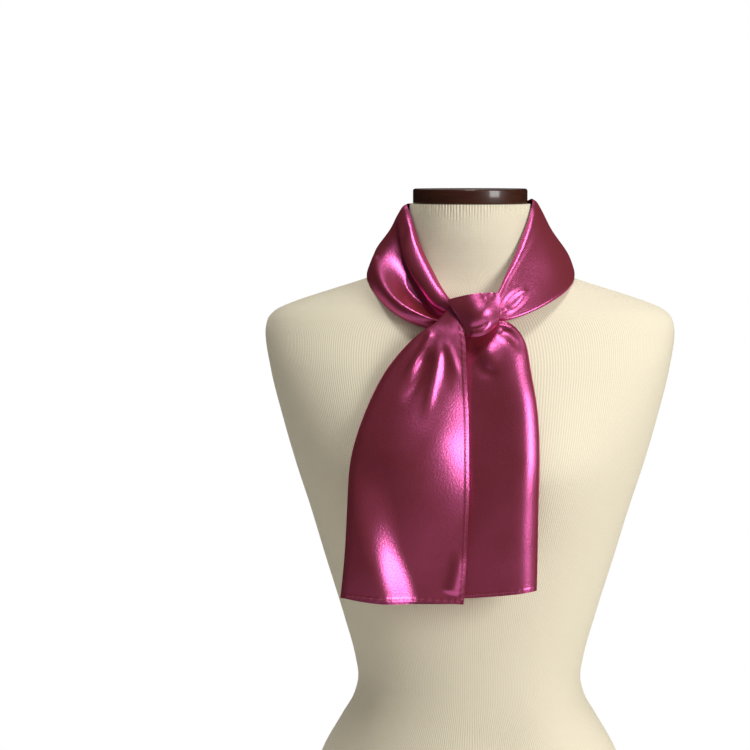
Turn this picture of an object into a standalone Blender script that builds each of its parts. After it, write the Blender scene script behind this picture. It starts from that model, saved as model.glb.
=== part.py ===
"""A satin scarf knotted round the neck of a limbless dress form.

The scarf is one strip of satin folded in half along its length, so every stretch of it is two plies
that meet in a fold along one side and lie open at their hems along the other. It goes round the neck
as a collar, crosses in one knot under the throat and hangs in two tails down the front.
The dress form is a plain torso, neck to hips, that stands on its own flat foot under a wooden neck cap.

Axes: +Z up, the front of the form looks along -Y, +X is to the right as seen from the front.
The origin is in the middle of the foot, under the axis of the neck. Tables are in millimetres.
"""

from collections import namedtuple

import bmesh
import bpy
import numpy as np

MM = 0.001

# Cloth
CLOTH_WALL = 1.2
FORM_GAP = 0.8  # air between the satin and the form
KNOT_GAP = 0.4  # air between the satin and the heart of the knot
PLY_GAP = 3.2  # between the middles of the two plies where they lie together

# Dress form
FORM_HEIGHT = 765.0
FORM_COLUMNS = 44
FORM_ROW_STEP = 23.0
SHOULDER_ROW_STEP = 7.0
SHOULDER_FROM = 632.0
NECK_FROM = 716.0
BUST_HEIGHT = 508.0
BUST_APART = 76.0
BUST_RISE = 17.0
BUST_SPREAD = 54.0

# Neck cap
CAP_RADIUS = 56.0
CAP_THICKNESS = 14.7
CAP_ROUNDING = 1.6
CAP_SEAT = 0.3

# Rounded heart of the knot, where the hidden layers are pressed together
HEART_CENTRE = (1.5, -83.0, 664.0)
HEART_RADII = (18.0, 12.5, 15.5)

FormSection = namedtuple("FormSection", "height half_width front back squareness")
FORM = [
    FormSection(0.0, 177.0, 97.0, 112.0, 2.25),
    FormSection(35.0, 180.0, 99.0, 116.0, 2.25),
    FormSection(80.0, 177.0, 99.0, 116.0, 2.25),
    FormSection(130.0, 170.0, 97.0, 108.0, 2.25),
    FormSection(178.0, 160.0, 94.0, 97.0, 2.25),
    FormSection(225.0, 145.5, 90.0, 87.0, 2.2),
    FormSection(262.0, 125.0, 86.0, 80.0, 2.15),
    FormSection(282.0, 113.5, 84.0, 77.5, 2.1),
    FormSection(300.0, 109.5, 83.5, 76.5, 2.1),
    FormSection(320.0, 112.5, 84.5, 77.0, 2.1),
    FormSection(360.0, 123.5, 89.0, 81.0, 2.15),
    FormSection(420.0, 142.0, 97.0, 91.0, 2.2),
    FormSection(470.0, 157.0, 107.0, 98.0, 2.25),
    FormSection(510.0, 170.0, 113.0, 102.0, 2.3),
    FormSection(555.0, 183.0, 108.0, 105.0, 2.35),
    FormSection(605.0, 195.5, 91.0, 104.0, 2.35),
    FormSection(640.0, 200.5, 73.0, 99.0, 2.2),
    FormSection(652.0, 198.5, 67.5, 95.0, 2.1),
    FormSection(661.0, 191.0, 63.5, 91.0, 2.0),
    FormSection(669.0, 174.0, 60.0, 87.0, 1.9),
    FormSection(681.0, 138.0, 57.0, 80.0, 1.8),
    FormSection(693.0, 101.0, 55.0, 73.0, 1.8),
    FormSection(704.0, 77.0, 54.5, 67.5, 1.9),
    FormSection(716.0, 65.5, 55.0, 63.5, 2.0),
    FormSection(735.0, 60.5, 57.0, 60.5, 2.0),
    FormSection(765.0, 59.0, 58.5, 59.0, 2.0),
]

# Collar: the angle is seen from above, 0 at the front, and grows to the right and on round the back. The
# inner edge is the open one against the neck, the outer edge is the fold. The last three columns are
# heights above the straight line between them: of the roll along the neck, of the hollow beside it and
# of the roll over the fold.
CollarSection = namedtuple(
    "CollarSection",
    "angle inner_radius inner_height outer_radius outer_height neck_roll hollow fold_roll",
)
COLLAR = [
    CollarSection(12.5, 81.5, 673.5, 84.0, 657.5, 2.0, 1.0, 2.0),
    CollarSection(18.0, 78.0, 681.0, 86.5, 654.5, 4.0, 0.0, 3.5),
    CollarSection(25.0, 70.5, 692.5, 88.5, 656.0, 6.0, 0.0, 6.0),
    CollarSection(36.0, 64.5, 709.0, 91.0, 661.5, 7.0, 1.0, 7.5),
    CollarSection(50.0, 61.5, 730.0, 96.5, 671.0, 7.0, 2.0, 8.0),
    CollarSection(64.0, 60.5, 748.0, 102.0, 682.0, 6.0, 2.0, 7.0),
    CollarSection(76.0, 60.5, 761.0, 103.0, 690.0, 4.5, 1.5, 5.0),
    CollarSection(90.0, 60.5, 769.0, 101.5, 699.0, 3.0, 1.5, 4.0),
    CollarSection(112.0, 61.0, 767.5, 96.0, 700.5, 3.0, 2.5, 5.0),
    CollarSection(135.0, 61.5, 765.0, 89.0, 698.0, 4.0, 3.0, 7.0),
    CollarSection(160.0, 62.0, 762.5, 84.0, 694.5, 5.5, 2.0, 9.0),
    CollarSection(185.0, 62.0, 761.5, 83.0, 692.5, 4.5, 3.5, 8.0),
    CollarSection(210.0, 61.5, 763.0, 86.0, 694.5, 4.0, 5.0, 7.0),
    CollarSection(235.0, 61.5, 764.5, 91.0, 697.5, 5.0, 4.0, 7.5),
    CollarSection(256.0, 61.0, 764.5, 97.0, 699.5, 5.5, 6.0, 7.5),
    CollarSection(272.0, 61.0, 762.5, 100.5, 697.5, 6.0, 8.0, 8.5),
    CollarSection(284.0, 61.0, 756.0, 102.5, 688.0, 7.0, 6.0, 12.0),
    CollarSection(298.0, 61.5, 740.0, 103.0, 675.0, 8.0, 0.5, 15.0),
    CollarSection(312.0, 63.5, 720.0, 101.0, 662.5, 9.0, -5.0, 16.0),
    CollarSection(325.0, 67.5, 703.0, 97.0, 654.5, 9.0, -7.0, 13.5),
    CollarSection(335.0, 73.5, 689.0, 92.0, 651.0, 7.0, -4.5, 9.0),
    CollarSection(342.5, 79.0, 678.0, 86.0, 652.0, 4.0, -1.0, 4.5),
    CollarSection(348.0, 81.5, 670.0, 83.5, 654.5, 2.0, 0.5, 2.0),
]
COLLAR_BACK_FROM = 112.0
COLLAR_BACK_TO = 256.0
COLLAR_JOIN = 0.18  # degrees kept free on each side of a join between stretches

# Knot band: a cross-section at each angle round the knot, seen from above. Its lower end lags behind its
# upper one where the band slants down to the left. The turns are the degrees by which the two long edges
# turn in over the knot; to the left the lower edge lies open on the front tail.
BandSection = namedtuple("BandSection", "place top_angle top bottom_angle bottom top_turn bottom_turn")
BAND = [
    BandSection(0.0, 84.0, 682.0, 84.0, 656.5, 84.0, 60.0),
    BandSection(1.0, 66.0, 682.5, 66.0, 653.0, 84.0, 60.0),
    BandSection(2.0, 42.0, 682.5, 44.0, 649.5, 84.0, 60.0),
    BandSection(3.0, 17.0, 682.0, 19.0, 644.0, 84.0, 58.0),
    BandSection(4.0, -8.0, 681.0, -1.0, 641.5, 84.0, 50.0),
    BandSection(5.0, -32.0, 679.5, -16.0, 642.5, 84.0, 40.0),
    BandSection(6.0, -57.0, 678.5, -27.0, 649.5, 84.0, 30.0),
    BandSection(7.0, -80.0, 677.0, -38.0, 657.5, 84.0, 26.0),
]
BAND_CENTRE = (0.3, -87.0)
BAND_RADII = (25.0, 19.0)
BAND_ROWS = 19
BAND_COLUMNS = 15
BAND_SQUARENESS = 3.8

# Tails: a section for each height. The fold and the edge are the two sides of the tail, the edge may lie
# lower by its drop, and the three depths are how far the front ply lies in front of the neck's axis at
# the fold, half way and at the edge. The opening is how far the back ply hangs away half way across.
TailSection = namedtuple(
    "TailSection",
    "height fold_x edge_x edge_drop fold_depth middle_depth edge_depth opening",
)
FRONT_TAIL = [
    TailSection(670.5, -18.5, -5.0, 13.0, 92.0, 95.5, 98.0, 0.0),
    TailSection(663.5, -26.0, -9.0, 10.0, 91.5, 96.0, 98.0, 0.0),
    TailSection(654.5, -34.6, -9.5, 8.0, 91.5, 98.0, 99.5, 0.0),
    TailSection(648.0, -43.9, -8.5, 6.5, 91.5, 99.5, 101.0, 0.0),
    TailSection(638.5, -56.1, -7.5, 4.5, 92.5, 102.5, 103.0, 0.0),
    TailSection(625.0, -69.4, -7.0, 2.0, 94.0, 107.0, 106.5, 0.0),
    TailSection(612.0, -79.8, -6.6, 0.5, 96.0, 111.5, 110.5, 0.5),
    TailSection(598.0, -88.6, -6.2, 0.0, 98.5, 116.0, 115.0, 1.0),
    TailSection(575.0, -99.8, -5.2, 0.0, 102.5, 123.5, 122.5, 1.5),
    TailSection(551.0, -109.0, -4.8, 0.0, 106.5, 130.0, 130.0, 2.0),
    TailSection(525.0, -115.8, -4.8, 0.0, 110.0, 135.5, 135.5, 2.0),
    TailSection(495.0, -118.5, -4.8, 0.0, 113.0, 138.5, 138.5, 2.0),
    TailSection(455.0, -120.3, -6.2, 0.0, 115.0, 139.0, 139.0, 2.5),
    TailSection(420.0, -122.7, -7.8, 0.0, 116.0, 139.0, 139.0, 3.5),
    TailSection(393.0, -125.5, -9.8, 0.0, 117.0, 138.5, 138.5, 5.0),
]
BACK_TAIL = [
    TailSection(655.0, 19.0, -3.0, 8.5, 86.0, 90.0, 89.5, 0.0),
    TailSection(654.3, 31.5, -6.0, 10.5, 88.3, 91.5, 89.5, 0.0),
    TailSection(650.5, 38.5, -9.0, 10.5, 88.0, 92.0, 89.5, 0.0),
    TailSection(644.5, 44.2, -13.0, 8.5, 88.5, 93.5, 90.0, 0.0),
    TailSection(635.5, 49.2, -18.0, 6.0, 89.5, 96.0, 91.5, 0.0),
    TailSection(624.0, 52.2, -26.0, 3.0, 91.5, 99.0, 94.0, 0.0),
    TailSection(608.0, 54.6, -33.0, 1.0, 96.0, 104.0, 98.5, 0.0),
    TailSection(588.0, 58.0, -41.0, 0.0, 103.5, 111.5, 105.5, 0.0),
    TailSection(565.0, 60.8, -47.0, 0.0, 111.5, 119.0, 113.0, 0.0),
    TailSection(540.0, 61.8, -51.0, 0.0, 119.0, 126.0, 120.5, 0.0),
    TailSection(515.0, 61.8, -53.0, 0.0, 124.0, 130.0, 126.5, 0.0),
    TailSection(485.0, 61.0, -54.0, 0.0, 126.0, 132.0, 129.5, 0.0),
    TailSection(440.0, 60.3, -55.0, 0.0, 127.0, 132.5, 130.5, 0.5),
    TailSection(400.0, 59.5, -56.0, 0.0, 127.0, 132.0, 130.5, 1.0),
]

# Folds that run down a tail: across is 0 at the fold and 1 at the edge, at the upper and the lower end
Crease = namedtuple("Crease", "upper lower upper_across lower_across width rise")
FRONT_TAIL_CREASES = [
    Crease(662.0, 570.0, 0.10, 0.30, 8.0, 4.5),
    Crease(660.0, 565.0, 0.33, 0.36, 8.0, -5.0),
    Crease(660.0, 545.0, 0.60, 0.72, 10.0, 4.5),
    Crease(640.0, 430.0, 0.55, 0.40, 22.0, -3.0),
]
BACK_TAIL_CREASES = [
    Crease(652.0, 585.0, 0.12, 0.10, 7.0, 3.5),
    Crease(652.0, 590.0, 0.30, 0.26, 8.0, -4.0),
    Crease(650.0, 575.0, 0.52, 0.48, 12.0, 3.0),
]
TAIL_ROWS = 25
PLY_COLUMNS = 13
FOLD_COLUMNS = 5
FRONT_HEM_RISE = 3.0  # how far the hem at the fold is above the hem at the edge, front tail
FRONT_HEM_DIP = 6.0  # how far the back ply shows below the front one
BACK_HEM_RISE = -7.0

COLLAR_ROWS = 15
COLLAR_PLY_COLUMNS = 11

SATIN = ("satin", (0.44, 0.045, 0.16, 1.0), 0.34, 0.0)
JERSEY = ("jersey", (0.86, 0.81, 0.68, 1.0), 0.9, 0.0)
DARK_WOOD = ("dark_wood", (0.07, 0.022, 0.012, 1.0), 0.28, 0.0)


def start_empty():
    """Removes what the scene holds and makes the collection of the parts."""
    for old in list(bpy.data.objects):
        bpy.data.objects.remove(old, do_unlink=True)
    parts = bpy.data.collections.new("scarf_on_dress_form")
    bpy.context.scene.collection.children.link(parts)
    return parts


def finish_of(name, colour, roughness, metallic):
    """The material of that name, made once."""
    made = bpy.data.materials.get(name)
    if made is None:
        made = bpy.data.materials.new(name)
        made.use_nodes = True
        shader = made.node_tree.nodes["Principled BSDF"]
        shader.inputs["Base Color"].default_value = colour
        shader.inputs["Roughness"].default_value = roughness
        shader.inputs["Metallic"].default_value = metallic
    return made


def natural_spline(knots, values, at):
    """A curve with continuous curvature through values at knots, read at each of at."""
    knots = np.asarray(knots, float)
    values = np.asarray(values, float)
    step = np.diff(knots)
    count = len(knots)
    system = np.eye(count)
    right = np.zeros_like(values)
    for i in range(1, count - 1):
        system[i, i - 1 : i + 2] = step[i - 1], 2 * (step[i - 1] + step[i]), step[i]
        rise = (values[i + 1] - values[i]) / step[i]
        fall = (values[i] - values[i - 1]) / step[i - 1]
        right[i] = 6 * (rise - fall)
    bend = np.linalg.solve(system, right)
    at = np.clip(at, knots[0], knots[-1])
    i = np.clip(np.searchsorted(knots, at) - 1, 0, count - 2)
    h = step[i]
    a = (knots[i + 1] - at) / h
    b = 1 - a
    a, b, h = (x.reshape(x.shape + (1,) * (values.ndim - 1)) for x in (a, b, h))
    curved = ((a**3 - a) * bend[i] + (b**3 - b) * bend[i + 1]) * h**2 / 6
    return a * values[i] + b * values[i + 1] + curved


def even_curve(knots, values, at):
    """A smooth curve that never passes beyond the values on either side of it."""
    knots = np.asarray(knots, float)
    values = np.asarray(values, float)
    step = np.diff(knots)
    slope = np.diff(values) / step
    tangent = np.zeros_like(values)
    tangent[0], tangent[-1] = slope[0], slope[-1]
    level = slope[:-1] * slope[1:] <= 0
    mean = 2 * slope[:-1] * slope[1:] / np.where(level, 1.0, slope[:-1] + slope[1:])
    tangent[1:-1] = np.where(level, 0.0, mean)
    at = np.clip(at, knots[0], knots[-1])
    i = np.clip(np.searchsorted(knots, at) - 1, 0, len(step) - 1)
    h = step[i]
    t = (at - knots[i]) / h
    start = (1 + 2 * t) * (1 - t) ** 2 * values[i] + t * (1 - t) ** 2 * h * tangent[i]
    end = t**2 * (3 - 2 * t) * values[i + 1] + t**2 * (t - 1) * h * tangent[i + 1]
    return start + end


def columns_of(table, at, curve=natural_spline, places=None):
    """Every column of a table, read at each of at, by name. Its first column says where its rows are, unless places does."""
    knots = [row[0] for row in table] if places is None else places
    names = table[0]._fields
    return {name: curve(knots, [getattr(row, name) for row in table], at) for name in names}


def smooth_step(t):
    """Goes smoothly from 0 to 1 as t does."""
    t = np.clip(t, 0.0, 1.0)
    return t * t * (3 - 2 * t)


def bust_rise(x, height):
    """How far the bust stands in front of the plain section."""
    up = ((height - BUST_HEIGHT) / BUST_SPREAD) ** 2
    left = ((x + BUST_APART) / BUST_SPREAD) ** 2
    right = ((x - BUST_APART) / BUST_SPREAD) ** 2
    return BUST_RISE * (np.exp(-up - left) + np.exp(-up - right))


def outside_form(points):
    """0 on the form's surface, positive outside it, as a share of the distance from the axis."""
    x, y, z = points.T
    size = columns_of(FORM, z, even_curve)
    in_front = y < 0
    y = np.where(in_front, np.minimum(y + bust_rise(x, z), 0.0), y)
    depth = np.where(in_front, size["front"], size["back"])
    power = size["squareness"]
    sides = (np.abs(x) / size["half_width"]) ** power + (np.abs(y) / depth) ** power
    return sides ** (1 / power) - 1


def outside_heart(points):
    """0 on the surface of the knot's heart, positive outside it."""
    return np.linalg.norm((points - HEART_CENTRE) / HEART_RADII, axis=1) - 1


def moved_clear(points, outside, gap):
    """The points, each moved straight out until it is at least gap from the surface that outside describes."""
    shape = points.shape
    points = points.reshape(-1, 3).copy()
    probe = 0.25
    for _ in range(5):
        value = outside(points)
        slope = np.empty_like(points)
        for axis in range(3):
            shift = np.zeros(3)
            shift[axis] = probe
            slope[:, axis] = (outside(points + shift) - outside(points - shift)) / (2 * probe)
        steep = np.maximum(np.linalg.norm(slope, axis=1), 1e-9)
        away = value / steep
        points += slope * (np.maximum(0.0, gap - away) / steep)[:, None]
    return points.reshape(shape)


def kept_apart(grid):
    """The points of a wall of satin, clear of the form and of the heart of the knot."""
    grid = moved_clear(grid, outside_form, CLOTH_WALL / 2 + FORM_GAP)
    return moved_clear(grid, outside_heart, CLOTH_WALL / 2 + KNOT_GAP)


def add_object(name, mesh, finish, parts):
    """An object for the mesh, in the parts' collection, with its material."""
    made = bpy.data.objects.new(name, mesh)
    mesh.materials.append(finish_of(*finish))
    mesh.shade_smooth()
    parts.objects.link(made)
    return made


def mesh_of_rings(name, rings, closed_ring, capped):
    """A mesh through rings of points, in millimetres, one ring after the other."""
    shape = bmesh.new()
    points = [[shape.verts.new(p * MM) for p in ring] for ring in rings]
    around = len(points[0]) if closed_ring else len(points[0]) - 1
    for lower, upper in zip(points, points[1:]):
        for i in range(around):
            j = (i + 1) % len(lower)
            shape.faces.new((lower[i], lower[j], upper[j], upper[i]))
    if capped:
        shape.faces.new(reversed(points[0]))
        shape.faces.new(points[-1])
    bmesh.ops.recalc_face_normals(shape, faces=shape.faces)
    mesh = bpy.data.meshes.new(name)
    shape.to_mesh(mesh)
    shape.free()
    return mesh


def cloth_wall(name, grid, parts):
    """A wall of satin whose middle runs through the grid of points."""
    mesh = mesh_of_rings(name, grid, closed_ring=False, capped=False)
    made = add_object(name, mesh, SATIN, parts)
    wall = made.modifiers.new("wall", "SOLIDIFY")
    wall.thickness = CLOTH_WALL * MM
    wall.offset = 0.0
    wall.use_even_offset = False
    return made


def dress_form(parts):
    """The torso: horizontal sections, closer together where the shoulders turn into the neck."""
    heights = np.concatenate([
        np.arange(0.0, SHOULDER_FROM, FORM_ROW_STEP),
        np.arange(SHOULDER_FROM, NECK_FROM, SHOULDER_ROW_STEP),
        np.linspace(NECK_FROM, FORM_HEIGHT, 5),
    ])
    turn = np.linspace(0.0, 2 * np.pi, FORM_COLUMNS, endpoint=False)
    rings = []
    size = columns_of(FORM, heights, even_curve)
    for i, height in enumerate(heights):
        power = 2 / size["squareness"][i]
        across = np.sign(np.sin(turn)) * np.abs(np.sin(turn)) ** power
        along = np.sign(np.cos(turn)) * np.abs(np.cos(turn)) ** power
        x = size["half_width"][i] * across
        depth = np.where(along > 0, size["front"][i], size["back"][i])
        bust = np.where(along > 0, bust_rise(x, height), 0.0)
        y = -depth * along - bust * smooth_step(along * 4)
        rings.append(np.column_stack([x, y, np.full_like(x, height)]))
    mesh = mesh_of_rings("dress_form", rings, closed_ring=True, capped=True)
    add_object("dress_form", mesh, JERSEY, parts)


def neck_cap(parts):
    """The wooden disc on top of the neck."""
    bpy.ops.mesh.primitive_cylinder_add(
        vertices=64,
        radius=CAP_RADIUS * MM,
        depth=CAP_THICKNESS * MM,
        location=(0, 0, (FORM_HEIGHT + CAP_SEAT + CAP_THICKNESS / 2) * MM),
    )
    cap = bpy.context.active_object
    cap.name = "neck_cap"
    for holder in list(cap.users_collection):
        holder.objects.unlink(cap)
    parts.objects.link(cap)
    cap.data.materials.append(finish_of(*DARK_WOOD))
    rounding = cap.modifiers.new("rounding", "BEVEL")
    rounding.width = CAP_ROUNDING * MM
    rounding.segments = 2


def collar_grid(first_angle, last_angle):
    """Points of one stretch of the collar: a section at each angle, from its edge over the fold and back."""
    angles = np.linspace(first_angle, last_angle, COLLAR_ROWS)
    size = columns_of(COLLAR, angles)
    rows = []
    for i, angle in enumerate(np.radians(angles)):
        inner = np.array([size["inner_radius"][i], size["inner_height"][i]])
        outer = np.array([size["outer_radius"][i], size["outer_height"][i]])
        along = outer - inner
        out = np.array([-along[1], along[0]]) / np.linalg.norm(along)
        neck_roll, hollow, fold_roll = (
            size[name][i] for name in ("neck_roll", "hollow", "fold_roll")
        )
        under = min(hollow, 0.0) - PLY_GAP
        section = [
            (0.0, 0.35 * neck_roll),
            (0.16, neck_roll),
            (0.42, hollow),
            (0.72, fold_roll),
            (0.95, 0.66 * fold_roll),
            (1.0, 0.5 * under + 0.2 * fold_roll),
            (0.94, under),
            (0.6, under - 0.5),
            (0.3, under - 0.5),
            (0.06, 0.35 * neck_roll - PLY_GAP),
        ]
        controls = np.array([inner + along * share + out * rise for share, rise in section])
        length = np.concatenate([[0], np.cumsum(np.linalg.norm(np.diff(controls, axis=0), axis=1))])
        steps = np.linspace(0, length[-1], 2 * COLLAR_PLY_COLUMNS - 1)
        radius, height = natural_spline(length, controls, steps).T
        rows.append(np.column_stack([radius * np.sin(angle), -radius * np.cos(angle), height]))
    return kept_apart(np.array(rows))


def collar(parts):
    """The three stretches of the collar, from the knot round the neck and back to it."""
    right_end, left_end = COLLAR[0].angle, COLLAR[-1].angle
    right = collar_grid(right_end, COLLAR_BACK_FROM - COLLAR_JOIN)
    cloth_wall("collar_right", right, parts)
    back = collar_grid(COLLAR_BACK_FROM + COLLAR_JOIN, COLLAR_BACK_TO - COLLAR_JOIN)
    cloth_wall("collar_back", back, parts)
    left = collar_grid(COLLAR_BACK_TO + COLLAR_JOIN, left_end)
    cloth_wall("collar_left", left, parts)


def knot_heart(parts):
    """The rounded heart of the knot."""
    shape = bmesh.new()
    bmesh.ops.create_uvsphere(shape, u_segments=24, v_segments=14, radius=1.0)
    for vertex in shape.verts:
        place = [c + r * u for c, r, u in zip(HEART_CENTRE, HEART_RADII, vertex.co)]
        vertex.co = [value * MM for value in place]
    mesh = bpy.data.meshes.new("knot_heart")
    shape.to_mesh(mesh)
    shape.free()
    add_object("knot_heart", mesh, SATIN, parts)


def knot_band(parts):
    """The band that crosses over the knot."""
    size = columns_of(BAND, np.linspace(BAND[0].place, BAND[-1].place, BAND_ROWS))
    power = 2 / BAND_SQUARENESS
    rows = []
    for i in range(BAND_ROWS):
        turns = [-size["bottom_turn"][i], 0.0, size["top_turn"][i]]
        turn = np.radians(np.interp(np.linspace(-1.0, 1.0, BAND_COLUMNS), [-1.0, 0.0, 1.0], turns))
        reach = np.where(turn < 0, abs(np.sin(turn[0])), np.sin(turn[-1]))
        up = np.sign(turn) * (np.abs(np.sin(turn)) / reach) ** power
        out = np.cos(turn) ** power
        middle = (size["top"][i] + size["bottom"][i]) / 2
        half = (size["top"][i] - size["bottom"][i]) / 2
        share = (up + 1) / 2
        angle = np.radians(size["bottom_angle"][i] * (1 - share) + size["top_angle"][i] * share)
        x = BAND_CENTRE[0] + BAND_RADII[0] * np.sin(angle) * out
        y = BAND_CENTRE[1] - BAND_RADII[1] * np.cos(angle) * out
        rows.append(np.column_stack([x, y, middle + half * up]))
    cloth_wall("knot_band", kept_apart(np.array(rows)), parts)


def crease_rise(creases, height, across, width):
    """How far the folds of a tail stand out at each place."""
    rise = np.zeros_like(across)
    for crease in creases:
        down = (crease.upper - height) / (crease.upper - crease.lower)
        middle = crease.upper_across + (crease.lower_across - crease.upper_across) * down
        fade = smooth_step(down * 6 + 0.4) * smooth_step((1 - down) * 1.6)
        apart = (across - middle) * width / crease.width
        rise += crease.rise * fade * np.exp(-apart * apart)
    return rise


def tail_grid(table, creases, hem_rise, hem_dip):
    """Points of a tail: at each height from the edge of the front ply round the fold to the edge of the back ply."""
    fold = np.array([(row.fold_x, row.height) for row in table])
    places = np.concatenate([[0], np.cumsum(np.linalg.norm(np.diff(fold, axis=0), axis=1))])
    down = np.linspace(0.0, 1.0, TAIL_ROWS) ** 1.25
    size = columns_of(table, down * places[-1], places=places)
    rows = []
    for i, height in enumerate(size["height"]):
        fold_x, edge_x = size["fold_x"][i], size["edge_x"][i]
        side = np.sign(edge_x - fold_x)
        bend = PLY_GAP / 2
        width = abs(edge_x - fold_x)
        ply = np.linspace(1.0, 0.0, PLY_COLUMNS)
        half_turn = np.linspace(0.0, np.pi, FOLD_COLUMNS + 2)[1:-1]
        back_ply = np.linspace(0.0, 0.985, PLY_COLUMNS)
        across = np.concatenate([ply, np.zeros(FOLD_COLUMNS), back_ply])
        beyond = np.concatenate([np.zeros(PLY_COLUMNS), np.sin(half_turn), np.zeros(PLY_COLUMNS)])
        open_by = size["opening"][i] * np.sin(np.pi * back_ply)
        behind = np.concatenate([np.zeros(PLY_COLUMNS), 1 - np.cos(half_turn), 2 + open_by / bend])
        x = fold_x + side * bend * (1 - beyond) + (edge_x - fold_x - side * bend) * across
        depths = [size[name][i] for name in ("fold_depth", "middle_depth", "edge_depth")]
        depth = natural_spline([0.0, 0.45, 1.0], depths, across)
        depth += crease_rise(creases, height, across, width)
        drop = down[i] ** 6
        z = height - size["edge_drop"][i] * across + drop * hem_rise * (1 - across)
        z -= drop * hem_dip * (behind > 1) * np.sin(np.pi * across ** 0.8)
        rows.append(np.column_stack([x, -(depth - bend * behind), z]))
    return kept_apart(np.array(rows))


def tails(parts):
    """The two hanging ends."""
    grid = tail_grid(FRONT_TAIL, FRONT_TAIL_CREASES, FRONT_HEM_RISE, FRONT_HEM_DIP)
    cloth_wall("front_tail", grid, parts)
    grid = tail_grid(BACK_TAIL, BACK_TAIL_CREASES, BACK_HEM_RISE, 0.0)
    cloth_wall("back_tail", grid, parts)


def main():
    parts = start_empty()
    dress_form(parts)
    neck_cap(parts)
    collar(parts)
    knot_heart(parts)
    knot_band(parts)
    tails(parts)


main()
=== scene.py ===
"""Looks of a satin scarf knotted round the neck of a jersey-covered dress form.

The scarf is one strip folded in half along its length, with narrow stitched hems. Tables are in
millimetres in the model's own frame: +Z up, the front of the form looks along -Y, and the origin lies
in the middle of the foot under the axis of the neck. Meshes are in metres.
"""

import logging
import math
from dataclasses import dataclass
from enum import Enum
from functools import cached_property
from typing import Callable, Iterator, NamedTuple, Sequence

import bpy
import numpy as np
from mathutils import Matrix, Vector


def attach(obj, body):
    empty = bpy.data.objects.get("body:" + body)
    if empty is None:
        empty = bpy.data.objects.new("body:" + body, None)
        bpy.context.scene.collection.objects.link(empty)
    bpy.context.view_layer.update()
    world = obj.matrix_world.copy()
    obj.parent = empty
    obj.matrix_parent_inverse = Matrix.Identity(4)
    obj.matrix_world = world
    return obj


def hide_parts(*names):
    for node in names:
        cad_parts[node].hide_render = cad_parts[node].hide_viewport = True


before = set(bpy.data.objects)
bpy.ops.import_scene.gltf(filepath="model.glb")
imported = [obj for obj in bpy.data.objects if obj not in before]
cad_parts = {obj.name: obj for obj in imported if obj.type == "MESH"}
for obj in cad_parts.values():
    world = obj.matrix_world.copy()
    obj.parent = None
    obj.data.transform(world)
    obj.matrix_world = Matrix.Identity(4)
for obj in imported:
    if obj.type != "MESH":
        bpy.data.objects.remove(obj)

LOG = logging.getLogger("scarf")
MM = 0.001
ROOT = "root"
CLOTH_MAP = "cloth"
SATIN_THICKNESS = 0.6
# A wave texture of scale 1 has this length of its coordinate in one wave.
WAVE_SCALE = 2 * math.pi / 20

Colour = tuple[float, float, float, float]
Triple = tuple[float, float, float]


# Curves and surfaces


def natural_spline(knots: Sequence[float], values: np.ndarray, at: np.ndarray) -> np.ndarray:
    """Reads a curve with continuous curvature.

    Args:
        knots: Places of the values, rising.
        values: One value or one row of values at each knot.
        at: Places to read.

    Returns:
        The value or row of values at each place.
    """
    knots = np.asarray(knots, float)
    values = np.asarray(values, float)
    step = np.diff(knots)
    count = len(knots)
    system = np.eye(count)
    right = np.zeros_like(values)
    for i in range(1, count - 1):
        system[i, i - 1 : i + 2] = step[i - 1], 2 * (step[i - 1] + step[i]), step[i]
        rise = (values[i + 1] - values[i]) / step[i]
        fall = (values[i] - values[i - 1]) / step[i - 1]
        right[i] = 6 * (rise - fall)
    bend = np.linalg.solve(system, right)
    at = np.clip(at, knots[0], knots[-1])
    i = np.clip(np.searchsorted(knots, at) - 1, 0, count - 2)
    h = step[i]
    a = (knots[i + 1] - at) / h
    b = 1 - a
    a, b, h = (x.reshape(x.shape + (1,) * (values.ndim - 1)) for x in (a, b, h))
    curved = ((a**3 - a) * bend[i] + (b**3 - b) * bend[i + 1]) * h**2 / 6
    return a * values[i] + b * values[i + 1] + curved


def even_curve(knots: Sequence[float], values: Sequence[float], at: np.ndarray) -> np.ndarray:
    """Reads a smooth curve that never passes beyond the values on either side of it.

    Args:
        knots: Places of the values, rising.
        values: The value at each knot.
        at: Places to read.

    Returns:
        The value at each place.
    """
    knots = np.asarray(knots, float)
    values = np.asarray(values, float)
    step = np.diff(knots)
    slope = np.diff(values) / step
    tangent = np.zeros_like(values)
    tangent[0], tangent[-1] = slope[0], slope[-1]
    level = slope[:-1] * slope[1:] <= 0
    mean = 2 * slope[:-1] * slope[1:] / np.where(level, 1.0, slope[:-1] + slope[1:])
    tangent[1:-1] = np.where(level, 0.0, mean)
    at = np.clip(at, knots[0], knots[-1])
    i = np.clip(np.searchsorted(knots, at) - 1, 0, len(step) - 1)
    h = step[i]
    t = (at - knots[i]) / h
    start = (1 + 2 * t) * (1 - t) ** 2 * values[i] + t * (1 - t) ** 2 * h * tangent[i]
    end = t**2 * (3 - 2 * t) * values[i + 1] + t**2 * (t - 1) * h * tangent[i + 1]
    return start + end


def columns_of(
    table: Sequence[NamedTuple],
    at: np.ndarray,
    places: Sequence[float] | None = None,
    curve: Callable[..., np.ndarray] = natural_spline,
) -> NamedTuple:
    """Reads every column of a table.

    Args:
        table: Rows of one named tuple type.
        at: Places to read.
        places: Where the rows are, or None if their first column says so.
        curve: The curve that joins the rows.

    Returns:
        One such tuple that holds the values of each column.
    """
    knots = [row[0] for row in table] if places is None else places
    return type(table[0])(*(curve(knots, column, at) for column in zip(*table)))


def table_of(kind: type, *rows: Sequence[float]) -> tuple[NamedTuple, ...]:
    """A table of rows of one named tuple type."""
    return tuple(kind(*row) for row in rows)


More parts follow.
